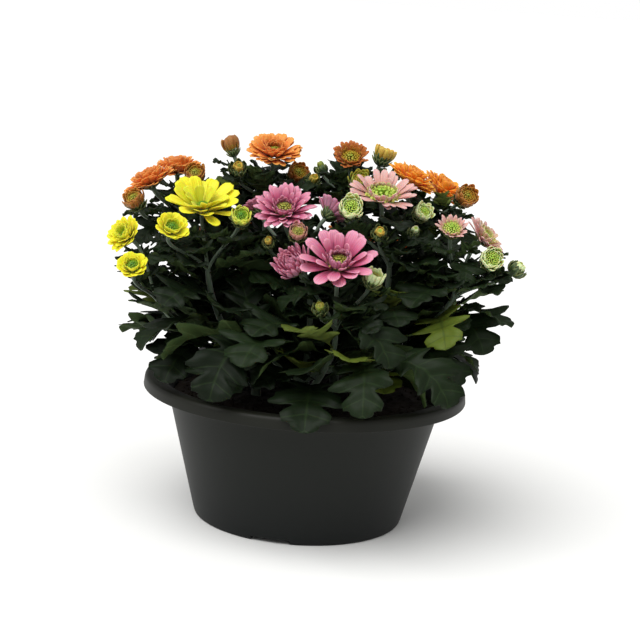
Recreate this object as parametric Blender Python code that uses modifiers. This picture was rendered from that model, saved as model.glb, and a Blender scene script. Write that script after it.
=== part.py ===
"""Mixed pot chrysanthemum: five rooted cuttings, each of its own colour, in a wide-rimmed bowl pot.

The pot's axis is the Z axis and it stands on z = 0. The front of the plant faces -Y, and +X is its right.
Every plant is one leafy stem, and carries its heads: rows of ray florets round an eye, or half-open buds.
"""

import itertools
import math
import random

import bmesh
import bpy
from mathutils import Vector
from mathutils.bvhtree import BVHTree

MM = 0.001

# Pot, turned about Z
POT_HEIGHT = 87 * MM
RIM_RADIUS = 100 * MM
RIM_SKIRT = 7.4 * MM
WALL_TOP_RADIUS = 85 * MM
WALL_FOOT_RADIUS = 66 * MM
WALL = 1.6 * MM
RIM_FLARE = 4.5 * MM
RIM_LIP = 3 * MM
CORNER = 2 * MM
FOOT_HEIGHT = 3 * MM
FOOT_WIDTH = 9 * MM
FOOT_SLOPE = 3 * MM
PAD_RADIUS = 22 * MM
POT_SIDES = 32
DRAIN_HOLES = 4
DRAIN_RADIUS = 5 * MM
DRAIN_SIDES = 6
FOOT_NOTCHES = 3
NOTCH_WIDTH = 24 * MM
NOTCH_HEIGHT = 2.7 * MM
NOTCH_TURN = math.radians(-103)

# Soil, which fills the pot to below its rim
SOIL_TOP = 75 * MM
SOIL_CROWN = 2 * MM
SOIL_LUMP = 1.2 * MM
LUMP_WAVES = (190, 60, 170)
GAP = 0.3 * MM
HOLE_SIDES = 8

# Stems
TRUNK_RADIUS = 3.2 * MM
TRUNK_DEPTH = 20 * MM
TRUNK_RISE = 18 * MM
TRUNK_TAPER = 0.8
SHOOT_RADIUS = 2.3 * MM
SHOOT_TAPER = 0.3
SHOOT_START = 5 * MM
SHOOT_STEP = 4.5 * MM
STALK_RADIUS = 1.0 * MM
FULL_STALK = 1.25
CALYX_LENGTH = 4.5 * MM
SHOOT_PULL = 0.38
SHOOT_UPRIGHT = 0.7
STALK_PULL = 0.35
END_PULL = 0.3
BUTTON_NECK = 0.72
BUD_STEPS = ((0.8, 1.0), (1.9, 0.45))

# Leaves, whose outline is in shares of their length: (along, half width), with the tip last
LEAF_EDGE = ((0.0, 0.016), (0.24, 0.018), (0.38, 0.24), (0.5, 0.11), (0.68, 0.28), (0.78, 0.13))
SMALL_LEAF_EDGE = ((0.0, 0.02), (0.2, 0.024), (0.52, 0.2))
SMALL_LEAF = 41 * MM
LEAF_RIB = (0.5, 0.78)
LEAF_LENGTHS = (70 * MM, 42 * MM)
STALK_LEAF_LENGTH = 38 * MM
STALK_LEAVES = ((0.12, 80), (0.5, -70))
STALK_LEAF_STEP = 75
LEAF_SPACING = 23 * MM
LEAF_THICKNESS = 0.7 * MM
LEAF_FOLD = math.radians(14)
LEAF_SHRINK_FROM = 95 * MM
LEAF_SHRINK_OVER = 85 * MM
LEAF_SHARE_LOW = 0.08
LEAF_SHARE_HIGH = 0.97
# Turns of a stem's leaves, one after another, from the way that points out of the bush: low ones, then high
LEAF_TURNS = (0, 66, -66, 30, -30, 104, -104)
HIGH_LEAF_TURNS = (0, 137, -85, 52, 180, -42, 95, -128)
HIGH_LEAVES_FROM = 140 * MM
LEAF_RISE = (28, 50)
LEAF_DROOP = (72, 112)
LEAF_ROLL = 28
SEED = 7

# A leaf that finds its place taken tries these turns, tilts and sizes, until one clears the rest by this room
TRY_TURNS = (0, 24, -24, 48, -48, 75, -75, 105, -105, 140, -140, 175)
TRY_TILTS = (0, 18, -15)
TRY_SIZES = (1, 0.85, 0.72)
LEAF_ROOM = 1.3 * MM
LEAF_SPREAD = 15 * MM
HEAD_ROOM = 2 * MM
HEAD_MIDDLE = 0.3
STALK_SPOTS = 16
SHOOT_SPOTS = 32
STEM_ROOM = 1.2 * MM
STEM_NEAR = 13 * MM
SOIL_EDGE = 74 * MM
SOIL_ROOM = 4 * MM
RIM_ROOM = 1.6 * MM
LEAF_HANG = 25 * MM
BUSH_RADIUS = 124 * MM
BUSH_SHIFT = 5 * MM

# Where each plant's stem leaves the soil, in mm
PLANTS = {"pink": (0, -32), "pale": (30, -10), "bronze": (18, 26), "apricot": (-18, 26), "yellow": (-30, -10)}

# Each shoot: its plant, and the point in mm where it splits into flower stalks. Some carry leaves only
SHOOTS = {
    "pink_front": ("pink", (16, -56, 130)),
    "pink_middle": ("pink", (-4, -24, 156)),
    "pink_leafy_left": ("pink", (-32, -54, 118)),
    "pink_leafy_right": ("pink", (40, -64, 112)),
    "pale_middle": ("pale", (46, -20, 163)),
    "pale_right": ("pale", (86, -15, 146)),
    "pale_leafy": ("pale", (80, 12, 122)),
    "bronze_top": ("bronze", (20, 33, 190)),
    "bronze_right": ("bronze", (66, 32, 180)),
    "bronze_back": ("bronze", (34, 76, 136)),
    "bronze_leafy": ("bronze", (76, 44, 120)),
    "apricot_top": ("apricot", (-32, 34, 188)),
    "apricot_left": ("apricot", (-80, 36, 176)),
    "apricot_back": ("apricot", (-40, 74, 136)),
    "apricot_leafy": ("apricot", (-70, 56, 118)),
    "yellow_middle": ("yellow", (-62, -32, 156)),
    "yellow_left": ("yellow", (-92, -22, 134)),
    "yellow_leafy": ("yellow", (-82, 8, 120)),
}

# Each head: its shoot, its form, its centre in mm, how far it leans, towards where, and its width in mm
HEADS = {
    "pink_front": ("pink_front", "full", (15, -62, 171), 24, -88, 43),
    "pink_side": ("pink_front", "cup", (-10, -44, 163), 40, -160, 23),
    "pink_bud_right": ("pink_front", "button", (35, -56, 160), 25, -40, 13),
    "pink_bud_low": ("pink_front", "bud", (6, -70, 145), 20, -110, 8),
    "pink_middle": ("pink_middle", "full", (-19, -26, 195), 20, -95, 38),
    "pink_far": ("pink_middle", "cup", (-36, 4, 190), 35, 150, 21),
    "pink_behind": ("pink_middle", "cup", (8, -5, 191), 50, 40, 25),
    "pink_button": ("pink_middle", "button", (-10, -38, 182), 25, -80, 12),
    "pink_bud_left": ("pink_middle", "bud", (-27, -34, 176), 25, -120, 7),
    "yellow_front": ("yellow_middle", "full", (-68, -20, 193), 24, -80, 44),
    "yellow_cup": ("yellow_middle", "cup", (-83, -52, 182), 32, -50, 25),
    "yellow_button": ("yellow_middle", "button", (-44, -38, 189), 30, -70, 13),
    "yellow_left": ("yellow_left", "cup", (-112, -22, 172), 52, 195, 27),
    "yellow_low": ("yellow_left", "cup", (-105, -46, 157), 20, -95, 23),
    "apricot_top": ("apricot_top", "full", (-29, 32, 223), 14, -85, 36),
    "apricot_half": ("apricot_top", "cup", (-56, 46, 221), 25, 140, 19),
    "apricot_bud": ("apricot_top", "bud", (-50, 20, 212), 15, -90, 10),
    "apricot_button": ("apricot_top", "button", (-15, 47, 206), 30, -20, 15),
    "apricot_bud_right": ("apricot_top", "bud", (-4, 36, 206), 30, -20, 9),
    "apricot_left": ("apricot_left", "full", (-104, 16, 201), 30, 165, 38),
    "apricot_far": ("apricot_left", "full", (-92, 62, 205), 14, 110, 37),
    "apricot_small": ("apricot_left", "button", (-77, 24, 204), 10, -90, 14),
    "apricot_low": ("apricot_left", "button", (-109, -8, 190), 30, 200, 14),
    "apricot_back": ("apricot_back", "full", (-46, 84, 163), 35, 112, 36),
    "apricot_back_left": ("apricot_back", "full", (-82, 62, 158), 45, 142, 32),
    "apricot_back_button": ("apricot_back", "button", (-20, 92, 152), 40, 100, 13),
    "bronze_top": ("bronze_top", "cup", (19, 36, 220), 16, -95, 24),
    "bronze_bud": ("bronze_top", "button", (39, 46, 221), 22, 25, 15),
    "bronze_green": ("bronze_top", "button", (25, 13, 208), 20, -90, 14),
    "bronze_tiny": ("bronze_top", "bud", (1, 42, 214), 25, 150, 7),
    "orange_middle": ("bronze_right", "full", (57, 14, 213), 30, 30, 35),
    "orange_right": ("bronze_right", "full", (79, 56, 203), 34, 15, 37),
    "orange_button": ("bronze_right", "button", (90, 22, 202), 45, -20, 16),
    "orange_back": ("bronze_back", "full", (24, 88, 165), 35, 75, 35),
    "orange_back_right": ("bronze_back", "full", (64, 76, 158), 42, 50, 34),
    "orange_back_button": ("bronze_back", "button", (44, 96, 150), 45, 65, 13),
    "pale_front": ("pale_middle", "full", (39, -16, 206), 18, -85, 40),
    "pale_button": ("pale_middle", "button", (20, -35, 198), 35, -90, 16),
    "pale_bud": ("pale_middle", "button", (63, -8, 195), 45, -30, 12),
    "pale_bud_low": ("pale_middle", "bud", (38, -38, 186), 20, -90, 9),
    "pale_bud_small": ("pale_middle", "bud", (59, -20, 186), 30, -40, 7),
    "pale_cup": ("pale_right", "cup", (81, -24, 188), 15, -80, 22),
    "pale_right": ("pale_right", "full", (104, 2, 182), 48, 5, 33),
    "pale_button_right": ("pale_right", "button", (105, -28, 173), 50, -60, 15),
    "pale_bud_right": ("pale_right", "bud", (123, -12, 166), 45, 0, 10),
}

# Rows of ray florets for each form, outer row first. Both rows have the same count, and lie alternately.
# Each row: reach as a share of the head's radius, rise at the root and the tip in degrees, and its sections
# as shares of its length
ROWS = {
    "full": (9, ((1.0, 12, 20, (0.42, 0.78)), (0.68, 40, 54, (0.68,)))),
    "cup": (7, ((1.0, 30, 62, (0.42, 0.78)), (0.6, 58, 74, (0.68,)))),
}
PETAL_FILL = 0.88
PETAL_TAPER = 0.84
PETAL_KEEL = 1.0 * MM
CORE_SHARE = 0.24
CORE_MAX = 4.6 * MM
CORE_TAPER = 0.12
ROW_RISE = 1.4 * MM
EYE_SHARE = 0.18

# Half-open heads and eyes are ridged, like packed florets
BUTTON_RIDGES = 5
BUTTON_STEPS = ((0, 0.7, 0), (0.6, 1.0, 0.16), (1.2, 0.7, 0.3))
EYE_RIDGES = 5
EYE_HEIGHT = 1.6 * MM

# Colours of the ray florets, and of the rest
PETAL_COLOURS = {
    "pink": (0.52, 0.16, 0.29),
    "yellow": (0.86, 0.70, 0.04),
    "apricot": (0.68, 0.25, 0.06),
    "bronze": (0.45, 0.12, 0.02),
    "orange": (0.72, 0.26, 0.02),
    "pale": (0.70, 0.42, 0.42),
}
EYE_COLOUR = (0.42, 0.44, 0.06)
LEAF_COLOUR = (0.035, 0.075, 0.02)
SOIL_COLOUR = (0.02, 0.012, 0.008)
POT_COLOUR = (0.014, 0.016, 0.016)


def material(name, colour, roughness):
    made = bpy.data.materials.new(name)
    made.use_nodes = True
    shader = made.node_tree.nodes["Principled BSDF"]
    shader.inputs["Base Color"].default_value = (*colour, 1)
    shader.inputs["Roughness"].default_value = roughness
    shader.inputs["Metallic"].default_value = 0
    return made


def add_object(name, data):
    made = bpy.data.objects.new(name, data)
    model.objects.link(made)
    return made


def along(curve, share):
    """The point of a cubic Bezier curve at a share of its parameter."""
    a, b, c, d = curve
    rest = 1 - share
    return a * rest**3 + b * 3 * rest**2 * share + c * 3 * rest * share**2 + d * share**3


def direction(lean, towards):
    """The unit vector that leans from +Z by lean, towards a compass angle from +X, both in degrees."""
    lean, towards = math.radians(lean), math.radians(towards)
    return Vector((math.sin(lean) * math.cos(towards), math.sin(lean) * math.sin(towards), math.cos(lean)))


def loft(name, rings, tip):
    """A closed mesh through rings of equal count, with a flat foot, and its last ring drawn to a tip."""
    shape = bmesh.new()
    rows = [[shape.verts.new(point) for point in ring] for ring in rings]
    count = len(rows[0])
    for low, high in zip(rows, rows[1:]):
        for i in range(count):
            shape.faces.new((low[i], low[(i + 1) % count], high[(i + 1) % count], high[i]))
    shape.faces.new(reversed(rows[0]))
    end = shape.verts.new(tip)
    for i in range(count):
        shape.faces.new((rows[-1][i], rows[-1][(i + 1) % count], end))
    bmesh.ops.recalc_face_normals(shape, faces=shape.faces)
    mesh = bpy.data.meshes.new(name)
    shape.to_mesh(mesh)
    shape.free()
    return add_object(name, mesh)


def as_mesh(shape):
    """Replaces an object by the mesh it evaluates to, with a curve's caps welded to its sides."""
    graph = bpy.context.evaluated_depsgraph_get()
    mesh = bpy.data.meshes.new_from_object(shape.evaluated_get(graph))
    if shape.type == "CURVE":
        welded = bmesh.new()
        welded.from_mesh(mesh)
        bmesh.ops.remove_doubles(welded, verts=welded.verts, dist=0.001 * MM)
        welded.to_mesh(mesh)
        welded.free()
    name, place = shape.name, shape.matrix_world.copy()
    bpy.data.objects.remove(shape)
    made = add_object(name, mesh)
    made.matrix_world = place
    return made


def stalk(name, points, radii, sides=6):
    """A stem with round sides: a curve through its points, as thick at each as its radius there."""
    curve = bpy.data.curves.new(name, "CURVE")
    curve.dimensions = "3D"
    curve.bevel_depth = 1
    curve.bevel_resolution = (sides - 4) // 2
    curve.use_fill_caps = True
    spline = curve.splines.new("POLY")
    spline.points.add(len(points) - 1)
    for knot, point, radius in zip(spline.points, points, radii):
        knot.co = (*point, 1)
        knot.radius = radius
    return as_mesh(add_object(name, curve))


def fuse(name, shapes, finish):
    """Joins shapes into one solid: a single union, of which the outer skin of the main body is kept."""
    main, rest = shapes[0], shapes[1:]
    joined = bpy.data.collections.new(name)
    for shape in rest:
        joined.objects.link(shape)
    union = main.modifiers.new("Join", "BOOLEAN")
    union.operand_type = "COLLECTION"
    union.collection = joined
    union.operation = "UNION"
    union.solver = "MANIFOLD"
    made = as_mesh(main)
    for shape in rest:
        bpy.data.objects.remove(shape)
    bpy.data.collections.remove(joined)
    keep_outer_skin(made.data)
    made.name = name
    made.data.materials.clear()
    made.data.materials.append(finish)


def keep_outer_skin(mesh):
    """Drops loose scraps, and the inner skins that would leave sealed hollows."""
    shape = bmesh.new()
    shape.from_mesh(mesh)
    left, skins = set(shape.verts), []
    while left:
        skin, edge = set(), {left.pop()}
        while edge:
            skin |= edge
            edge = {e.other_vert(v) for v in edge for e in v.link_edges} - skin
        left -= skin
        skins.append(skin)
    skins.sort(key=len)
    extra = [v for skin in skins[:-1] for v in skin]
    bmesh.ops.delete(shape, geom=extra, context="VERTS")
    shape.to_mesh(mesh)
    shape.free()


def turned(name, profile, sides):
    """A closed solid turned about Z from an outline of (radius, height) that starts and ends on the axis."""
    mesh = bpy.data.meshes.new(name)
    points = [(radius, 0, height) for radius, height in profile]
    mesh.from_pydata(points, [(i, i + 1) for i in range(len(points) - 1)], [])
    made = add_object(name, mesh)
    screw = made.modifiers.new("Turn", "SCREW")
    screw.steps = screw.render_steps = sides
    screw.use_merge_vertices = True
    screw.merge_threshold = 0.01 * MM
    return made


def cut(body, cutter):
    """Cuts one helper from a body, and removes the helper."""
    difference = body.modifiers.new("Cut", "BOOLEAN")
    difference.object = cutter
    difference.operation = "DIFFERENCE"
    name = body.name
    made = as_mesh(body)
    made.name = name
    bpy.data.objects.remove(cutter)
    return made


def cylinder(radius, low, high, x, y, sides):
    """An upright cylinder between two heights."""
    bpy.ops.mesh.primitive_cylinder_add(vertices=sides, radius=radius, depth=high - low,
                                        location=(x, y, (low + high) / 2))
    return bpy.context.object


def build_pot():
    """The bowl pot: a tapered wall, a flared rim with a short skirt, and a notched foot with drain holes."""
    floor = FOOT_HEIGHT + WALL
    shoulder = POT_HEIGHT - RIM_SKIRT
    foot_in = WALL_FOOT_RADIUS - FOOT_WIDTH
    profile = (
        (0, floor),
        (WALL_FOOT_RADIUS - WALL - CORNER, floor),
        (WALL_TOP_RADIUS - WALL, shoulder),
        (WALL_TOP_RADIUS + RIM_FLARE - WALL / 2, POT_HEIGHT - WALL / 2),
        (RIM_RADIUS - CORNER, POT_HEIGHT),
        (RIM_RADIUS, POT_HEIGHT - CORNER),
        (RIM_RADIUS, shoulder),
        (RIM_RADIUS - WALL, shoulder),
        (RIM_RADIUS - WALL, POT_HEIGHT - RIM_LIP),
        (WALL_TOP_RADIUS + RIM_FLARE, POT_HEIGHT - RIM_LIP),
        (WALL_TOP_RADIUS, shoulder - CORNER),
        (WALL_FOOT_RADIUS, 2 * CORNER),
        (WALL_FOOT_RADIUS - CORNER, 0),
        (foot_in, 0),
        (foot_in - FOOT_SLOPE, FOOT_HEIGHT),
        (PAD_RADIUS + FOOT_SLOPE, FOOT_HEIGHT),
        (PAD_RADIUS, 0),
        (0, 0),
    )
    pot = turned("pot", profile, POT_SIDES)
    channel = (PAD_RADIUS + foot_in) / 2
    for i in range(DRAIN_HOLES):
        turn = math.tau * (i + 0.5) / DRAIN_HOLES
        x, y = channel * math.cos(turn), channel * math.sin(turn)
        pot = cut(pot, cylinder(DRAIN_RADIUS, -MM, floor + MM, x, y, DRAIN_SIDES))
    middle = WALL_FOOT_RADIUS - FOOT_WIDTH / 2
    for i in range(FOOT_NOTCHES):
        turn = NOTCH_TURN + math.tau * i / FOOT_NOTCHES
        place = (middle * math.cos(turn), middle * math.sin(turn), 0)
        bpy.ops.mesh.primitive_cube_add(size=1, location=place)
        notch = bpy.context.object
        notch.scale = (2 * FOOT_WIDTH, NOTCH_WIDTH, 2 * NOTCH_HEIGHT)
        notch.rotation_euler.z = turn
        pot = cut(pot, notch)
    pot.data.materials.append(material("pot plastic", POT_COLOUR, 0.45))
    pot.data.shade_smooth()
    pot.data.set_sharp_from_angle(angle=math.radians(35))


def build_soil():
    """Compost up to below the rim, gently lumpy on top, with a plain hole for each stem."""
    floor = FOOT_HEIGHT + WALL + GAP
    foot = WALL_FOOT_RADIUS - WALL - CORNER
    top = WALL_TOP_RADIUS - WALL
    slope = (top - foot) / (POT_HEIGHT - RIM_SKIRT - floor)
    edge = foot + slope * (SOIL_TOP - floor)
    crown = SOIL_TOP + SOIL_CROWN
    profile = (
        (0, crown),
        (edge * 0.34, crown),
        (edge * 0.7, crown - SOIL_CROWN / 2),
        (edge - 2 * GAP, SOIL_TOP),
        (foot - 2 * GAP, floor),
        (0, floor),
    )
    soil = as_mesh(turned("soil", profile, POT_SIDES))
    for vertex in soil.data.vertices:
        x, y, z = vertex.co
        if z > SOIL_TOP - MM and math.hypot(x, y) > MM:
            wave = math.sin(x * LUMP_WAVES[0]) * math.cos(x * LUMP_WAVES[1] + y * LUMP_WAVES[2])
            vertex.co.z = z + SOIL_LUMP * wave
    radius = (TRUNK_RADIUS + GAP) / math.cos(math.pi / HOLE_SIDES)
    for x, y in PLANTS.values():
        hole = cylinder(radius, SOIL_TOP - TRUNK_DEPTH, crown + 2 * CORNER, x * MM, y * MM, HOLE_SIDES)
        soil = cut(soil, hole)
    soil.data.materials.append(material("soil", SOIL_COLOUR, 0.95))


def head_centre(head):
    return Vector(HEADS[head][2]) * MM


def head_axis(head):
    return direction(HEADS[head][3], HEADS[head][4])


def head_radius(head):
    return HEADS[head][5] * MM / 2


def shoots_of(plant):
    return [shoot for shoot in SHOOTS if SHOOTS[shoot][0] == plant]


def heads_of(shoot):
    return [head for head in HEADS if HEADS[head][0] == shoot]


def shoot_curve(shoot):
    """The curve of a shoot's stem, from its plant's short trunk up to where it splits."""
    plant, fork = SHOOTS[shoot]
    x, y = PLANTS[plant]
    order = shoots_of(plant).index(shoot)
    start = Vector((x * MM, y * MM, SOIL_TOP + SHOOT_START + SHOOT_STEP * order))
    end = Vector(fork) * MM
    carried = [head_centre(head) - end for head in heads_of(shoot)]
    out = Vector((end.x - start.x, end.y - start.y, 0))
    aim = (sum(carried, Vector()) or end - start + out).normalized()
    reach = (end - start).length
    leave = (Vector((0, 0, SHOOT_UPRIGHT)) * reach + out) * SHOOT_PULL
    return (start, start + leave, end - aim * reach * END_PULL, end)


def head_curve(head):
    """The curve of a flower stalk, from the fork of its shoot to under its head."""
    shoot = HEADS[head][0]
    curve = shoot_curve(shoot)
    fork = curve[3]
    end = head_centre(head) - head_axis(head) * (CALYX_LENGTH + GAP)
    reach = (end - fork).length
    aim = ((curve[3] - curve[2]).normalized() + (end - fork).normalized()).normalized()
    return (fork, fork + aim * reach * STALK_PULL, end - head_axis(head) * reach * END_PULL, end)


def leaf_points(base, turn, rise, droop, roll, length):
    """The points of a leaf: its edge from root to tip down each side, and its rib.

    The rib is an arc that leaves its base at the rise and has turned down by the droop at its tip.
    The two halves fold up from it, and the roll turns the blade about it.
    """
    outward = Vector((math.cos(turn), math.sin(turn), 0))
    across = Vector((-math.sin(turn), math.cos(turn), 0))

    def place(share, half_width):
        angle = rise - droop * share
        run = (math.sin(rise) - math.sin(angle)) / droop * length
        climb = (math.cos(angle) - math.cos(rise)) / droop * length
        normal = Vector((0, 0, math.cos(angle))) - outward * math.sin(angle)
        side = across * math.cos(roll) + normal * math.sin(roll)
        up = normal * math.cos(roll) - across * math.sin(roll)
        lift = up * abs(half_width) * math.sin(LEAF_FOLD) + side * half_width * math.cos(LEAF_FOLD)
        return base + outward * run + Vector((0, 0, climb)) + lift * length

    outline = LEAF_EDGE if length > SMALL_LEAF else SMALL_LEAF_EDGE
    left = [place(share, width) for share, width in outline]
    right = [place(share, -width) for share, width in outline]
    return left, right, [place(share, 0) for share in LEAF_RIB], place(1, 0)


def leaf_faces(points):
    """The triangles of a leaf's blade, the same on either side of the rib."""
    left, right, rib, tip = points
    faces = [(left[0], right[0], right[1]), (left[0], right[1], left[1]), (left[1], right[1], rib[0])]
    for edge in (left, right):
        if len(edge) == len(SMALL_LEAF_EDGE):
            half = [(edge[1], rib[0], edge[2]), (rib[0], tip, edge[2])]
        else:
            half = [(edge[1], rib[0], edge[3]), (edge[1], edge[3], edge[2]), (rib[0], edge[4], edge[3]),
                    (rib[0], edge[5], edge[4]), (rib[0], rib[1], edge[5]), (rib[1], tip, edge[5])]
        faces += half if edge is left else [(a, c, b) for a, b, c in half]
    return faces


def leaf_tree(points, room=0.0):
    """A search tree of a leaf's blade, or of the blade with some free room on either side of it."""
    corners = []
    for a, b, c in leaf_faces(points):
        away = (b - a).cross(c - a).normalized() * room
        corners += [a, b, c]
        if room:
            corners += [a + away, b + away, c + away, a - away, b - away, c - away]
    return BVHTree.FromPolygons(corners, [(i, i + 1, i + 2) for i in range(0, len(corners), 3)])


def clears_pot(points):
    """Whether a leaf stays above the soil, inside the bush's round outline and clear of the pot's rim."""
    left, right, rib, tip = points
    for point in (*left[1:], *right[1:], *rib, tip):
        radius = math.hypot(point.x, point.y)
        floor = SOIL_TOP + SOIL_ROOM if radius < SOIL_EDGE else POT_HEIGHT + RIM_ROOM
        if radius > RIM_RADIUS + SOIL_ROOM:
            floor = POT_HEIGHT - LEAF_HANG
        if point.z < floor or math.hypot(point.x - BUSH_SHIFT, point.y) > BUSH_RADIUS:
            return False
    return True


def spots_to_clear():
    """What leaves keep clear of: (point, room) for every head, then the same for points down every stem."""
    heads, stems = [], []
    for head in HEADS:
        radius = head_radius(head)
        heads.append((head_centre(head) + head_axis(head) * radius * HEAD_MIDDLE, radius + HEAD_ROOM))
        curve = head_curve(head)
        stems += [(along(curve, i / STALK_SPOTS), STALK_RADIUS + STEM_ROOM) for i in range(STALK_SPOTS + 1)]
    for shoot in SHOOTS:
        curve = shoot_curve(shoot)
        stems += [(along(curve, i / SHOOT_SPOTS), SHOOT_RADIUS + STEM_ROOM) for i in range(SHOOT_SPOTS + 1)]
    return heads, stems


def place_leaf(base, turn, rise, droop, roll, length, grown, heads, stems):
    """Finds the first free place for a leaf near the turn that it should have, smaller if it must be.

    A free leaf crosses nothing: no head, stem or other leaf. It is also spread from the leaves that have
    grown before it.
    """
    near = [(spot, room) for spot, room in heads if (spot - base).length < length + room]
    near += [(spot, room) for spot, room in stems if STEM_NEAR < (spot - base).length < length + room]
    grown = [(tree, middle) for tree, middle in grown if (middle - base).length < 2 * LEAF_LENGTHS[0]]
    best = None
    for size, shift, tilt in itertools.product(TRY_SIZES, TRY_TURNS, TRY_TILTS):
        if best is not None and size != best_size:
            break
        points = leaf_points(base, turn + math.radians(shift), rise + math.radians(tilt), droop, roll,
                             length * size)
        if not clears_pot(points):
            continue
        middle = points[2][1]
        spread = min(((middle - other).length for _, other in grown), default=1)
        if best is not None and spread <= best[0]:
            continue
        tree = leaf_tree(points)
        if any(tree.find_nearest(spot, room)[0] is not None for spot, room in near):
            continue
        roomy = leaf_tree(points, LEAF_ROOM)
        if any(roomy.overlap(other) for other, _ in grown):
            continue
        best, best_size = (spread, points, tree, middle), size
        if spread > LEAF_SPREAD:
            break
    return best


def leaf_roots(plant):
    """Where a plant's leaves grow: (point on the stem, turn from the pot's axis in degrees, length)."""
    roots = []
    for order, shoot in enumerate(shoots_of(plant)):
        curve = shoot_curve(shoot)
        count = max(3, round((curve[3] - curve[0]).length / LEAF_SPACING))
        for i in range(count + 1):
            base = along(curve, LEAF_SHARE_LOW + (LEAF_SHARE_HIGH - LEAF_SHARE_LOW) * i / count)
            height = max(0, min(1, (base.z - LEAF_SHRINK_FROM) / LEAF_SHRINK_OVER))
            length = LEAF_LENGTHS[0] + (LEAF_LENGTHS[1] - LEAF_LENGTHS[0]) * height
            turns = LEAF_TURNS if base.z < HIGH_LEAVES_FROM else HIGH_LEAF_TURNS
            roots.append((base, turns[(i + 3 * order) % len(turns)], length))
        for i, head in enumerate(head for head in heads_of(shoot) if HEADS[head][1] == "full"):
            for share, turn in STALK_LEAVES:
                roots.append((along(head_curve(head), share), turn + STALK_LEAF_STEP * i, STALK_LEAF_LENGTH))
    return roots


def all_leaves():
    """Every plant's leaves, as many as find a free place, large below and smaller near the heads."""
    draw = random.Random(SEED)
    heads, stems = spots_to_clear()
    leaves, grown = {plant: [] for plant in PLANTS}, []
    for plant in PLANTS:
        for base, turn, length in leaf_roots(plant):
            turn = math.atan2(base.y, base.x) + math.radians(turn + draw.uniform(-9, 9))
            rise = math.radians(draw.uniform(*LEAF_RISE))
            droop = math.radians(draw.uniform(*LEAF_DROOP))
            roll = math.radians(draw.uniform(-LEAF_ROLL, LEAF_ROLL))
            length *= draw.uniform(0.92, 1.06)
            found = place_leaf(base, turn, rise, droop, roll, length, grown, heads, stems)
            if found:
                leaves[plant].append(found[1])
                grown.append(found[2:])
    return leaves


def leaf_blade(name, points):
    """A leaf's thin arched blade, with its stalk, as a closed solid."""
    shape = bmesh.new()
    verts = {}
    for face in leaf_faces(points):
        for corner in face:
            if corner.freeze() not in verts:
                verts[corner] = shape.verts.new(corner)
        shape.faces.new([verts[corner] for corner in face])
    mesh = bpy.data.meshes.new(name)
    shape.to_mesh(mesh)
    shape.free()
    blade = add_object(name, mesh)
    wall = blade.modifiers.new("Wall", "SOLIDIFY")
    wall.thickness = LEAF_THICKNESS
    wall.offset = 0
    return as_mesh(blade)


def shoot_run(shoot):
    """The points and radii of a shoot's stem, from the trunk up to where it splits."""
    curve = shoot_curve(shoot)
    shares = [i / 4 for i in range(5)]
    radii = [SHOOT_RADIUS * (1 - SHOOT_TAPER * share) for share in shares]
    return [along(curve, share) for share in shares], radii


def head_stalk(head, points, radii):
    """A flower stalk that widens into the green cup under its head, or into the whole of a small bud.

    It starts from the points and radii given, which are those of its shoot where it carries that on.
    """
    form = HEADS[head][1]
    radius = head_radius(head)
    curve = head_curve(head)
    axis = head_axis(head)
    thin = STALK_RADIUS * FULL_STALK if form == "full" else STALK_RADIUS
    points = points + [along(curve, share) for share in (0.4, 1)]
    radii = radii + [thin, thin]
    if form == "bud":
        for step, width in BUD_STEPS:
            points.append(curve[3] + axis * radius * step)
            radii.append(radius * width)
    else:
        points.append(curve[3] + axis * CALYX_LENGTH)
        radii.append(core_radius(head) if form in ROWS else radius * BUTTON_NECK)
    return stalk(head + " stalk", points, radii, 6 if form == "bud" else 4)


def build_plant(plant, leaves):
    """One cutting: its short trunk, its shoots and their stalks, and its leaves, as one green solid."""
    x, y = PLANTS[plant]
    foot = Vector((x * MM, y * MM, SOIL_TOP - TRUNK_DEPTH + GAP))
    top = Vector((x * MM, y * MM, SOIL_TOP + TRUNK_RISE))
    shapes = [stalk(plant + " trunk", [foot, top], [TRUNK_RADIUS, TRUNK_RADIUS * TRUNK_TAPER])]
    for shoot in shoots_of(plant):
        points, radii = shoot_run(shoot)
        heads = heads_of(shoot)
        if not heads:
            shapes.append(stalk(shoot, points, radii, 4))
        for head in heads:
            if head == heads[0]:
                shapes.append(head_stalk(head, points, radii))
            else:
                shapes.append(head_stalk(head, points[-1:], [STALK_RADIUS * FULL_STALK]))
    shapes += [leaf_blade(f"{plant} leaf {i}", points) for i, points in enumerate(leaves)]
    fuse("plant_" + plant, shapes, leaf_green)


def core_radius(head):
    return min(head_radius(head) * CORE_SHARE, CORE_MAX)


def head_frame(head):
    """The head's axis, and two directions square to it and to each other."""
    axis = head_axis(head)
    sideways = axis.orthogonal().normalized()
    return axis, sideways, axis.cross(sideways)


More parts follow.
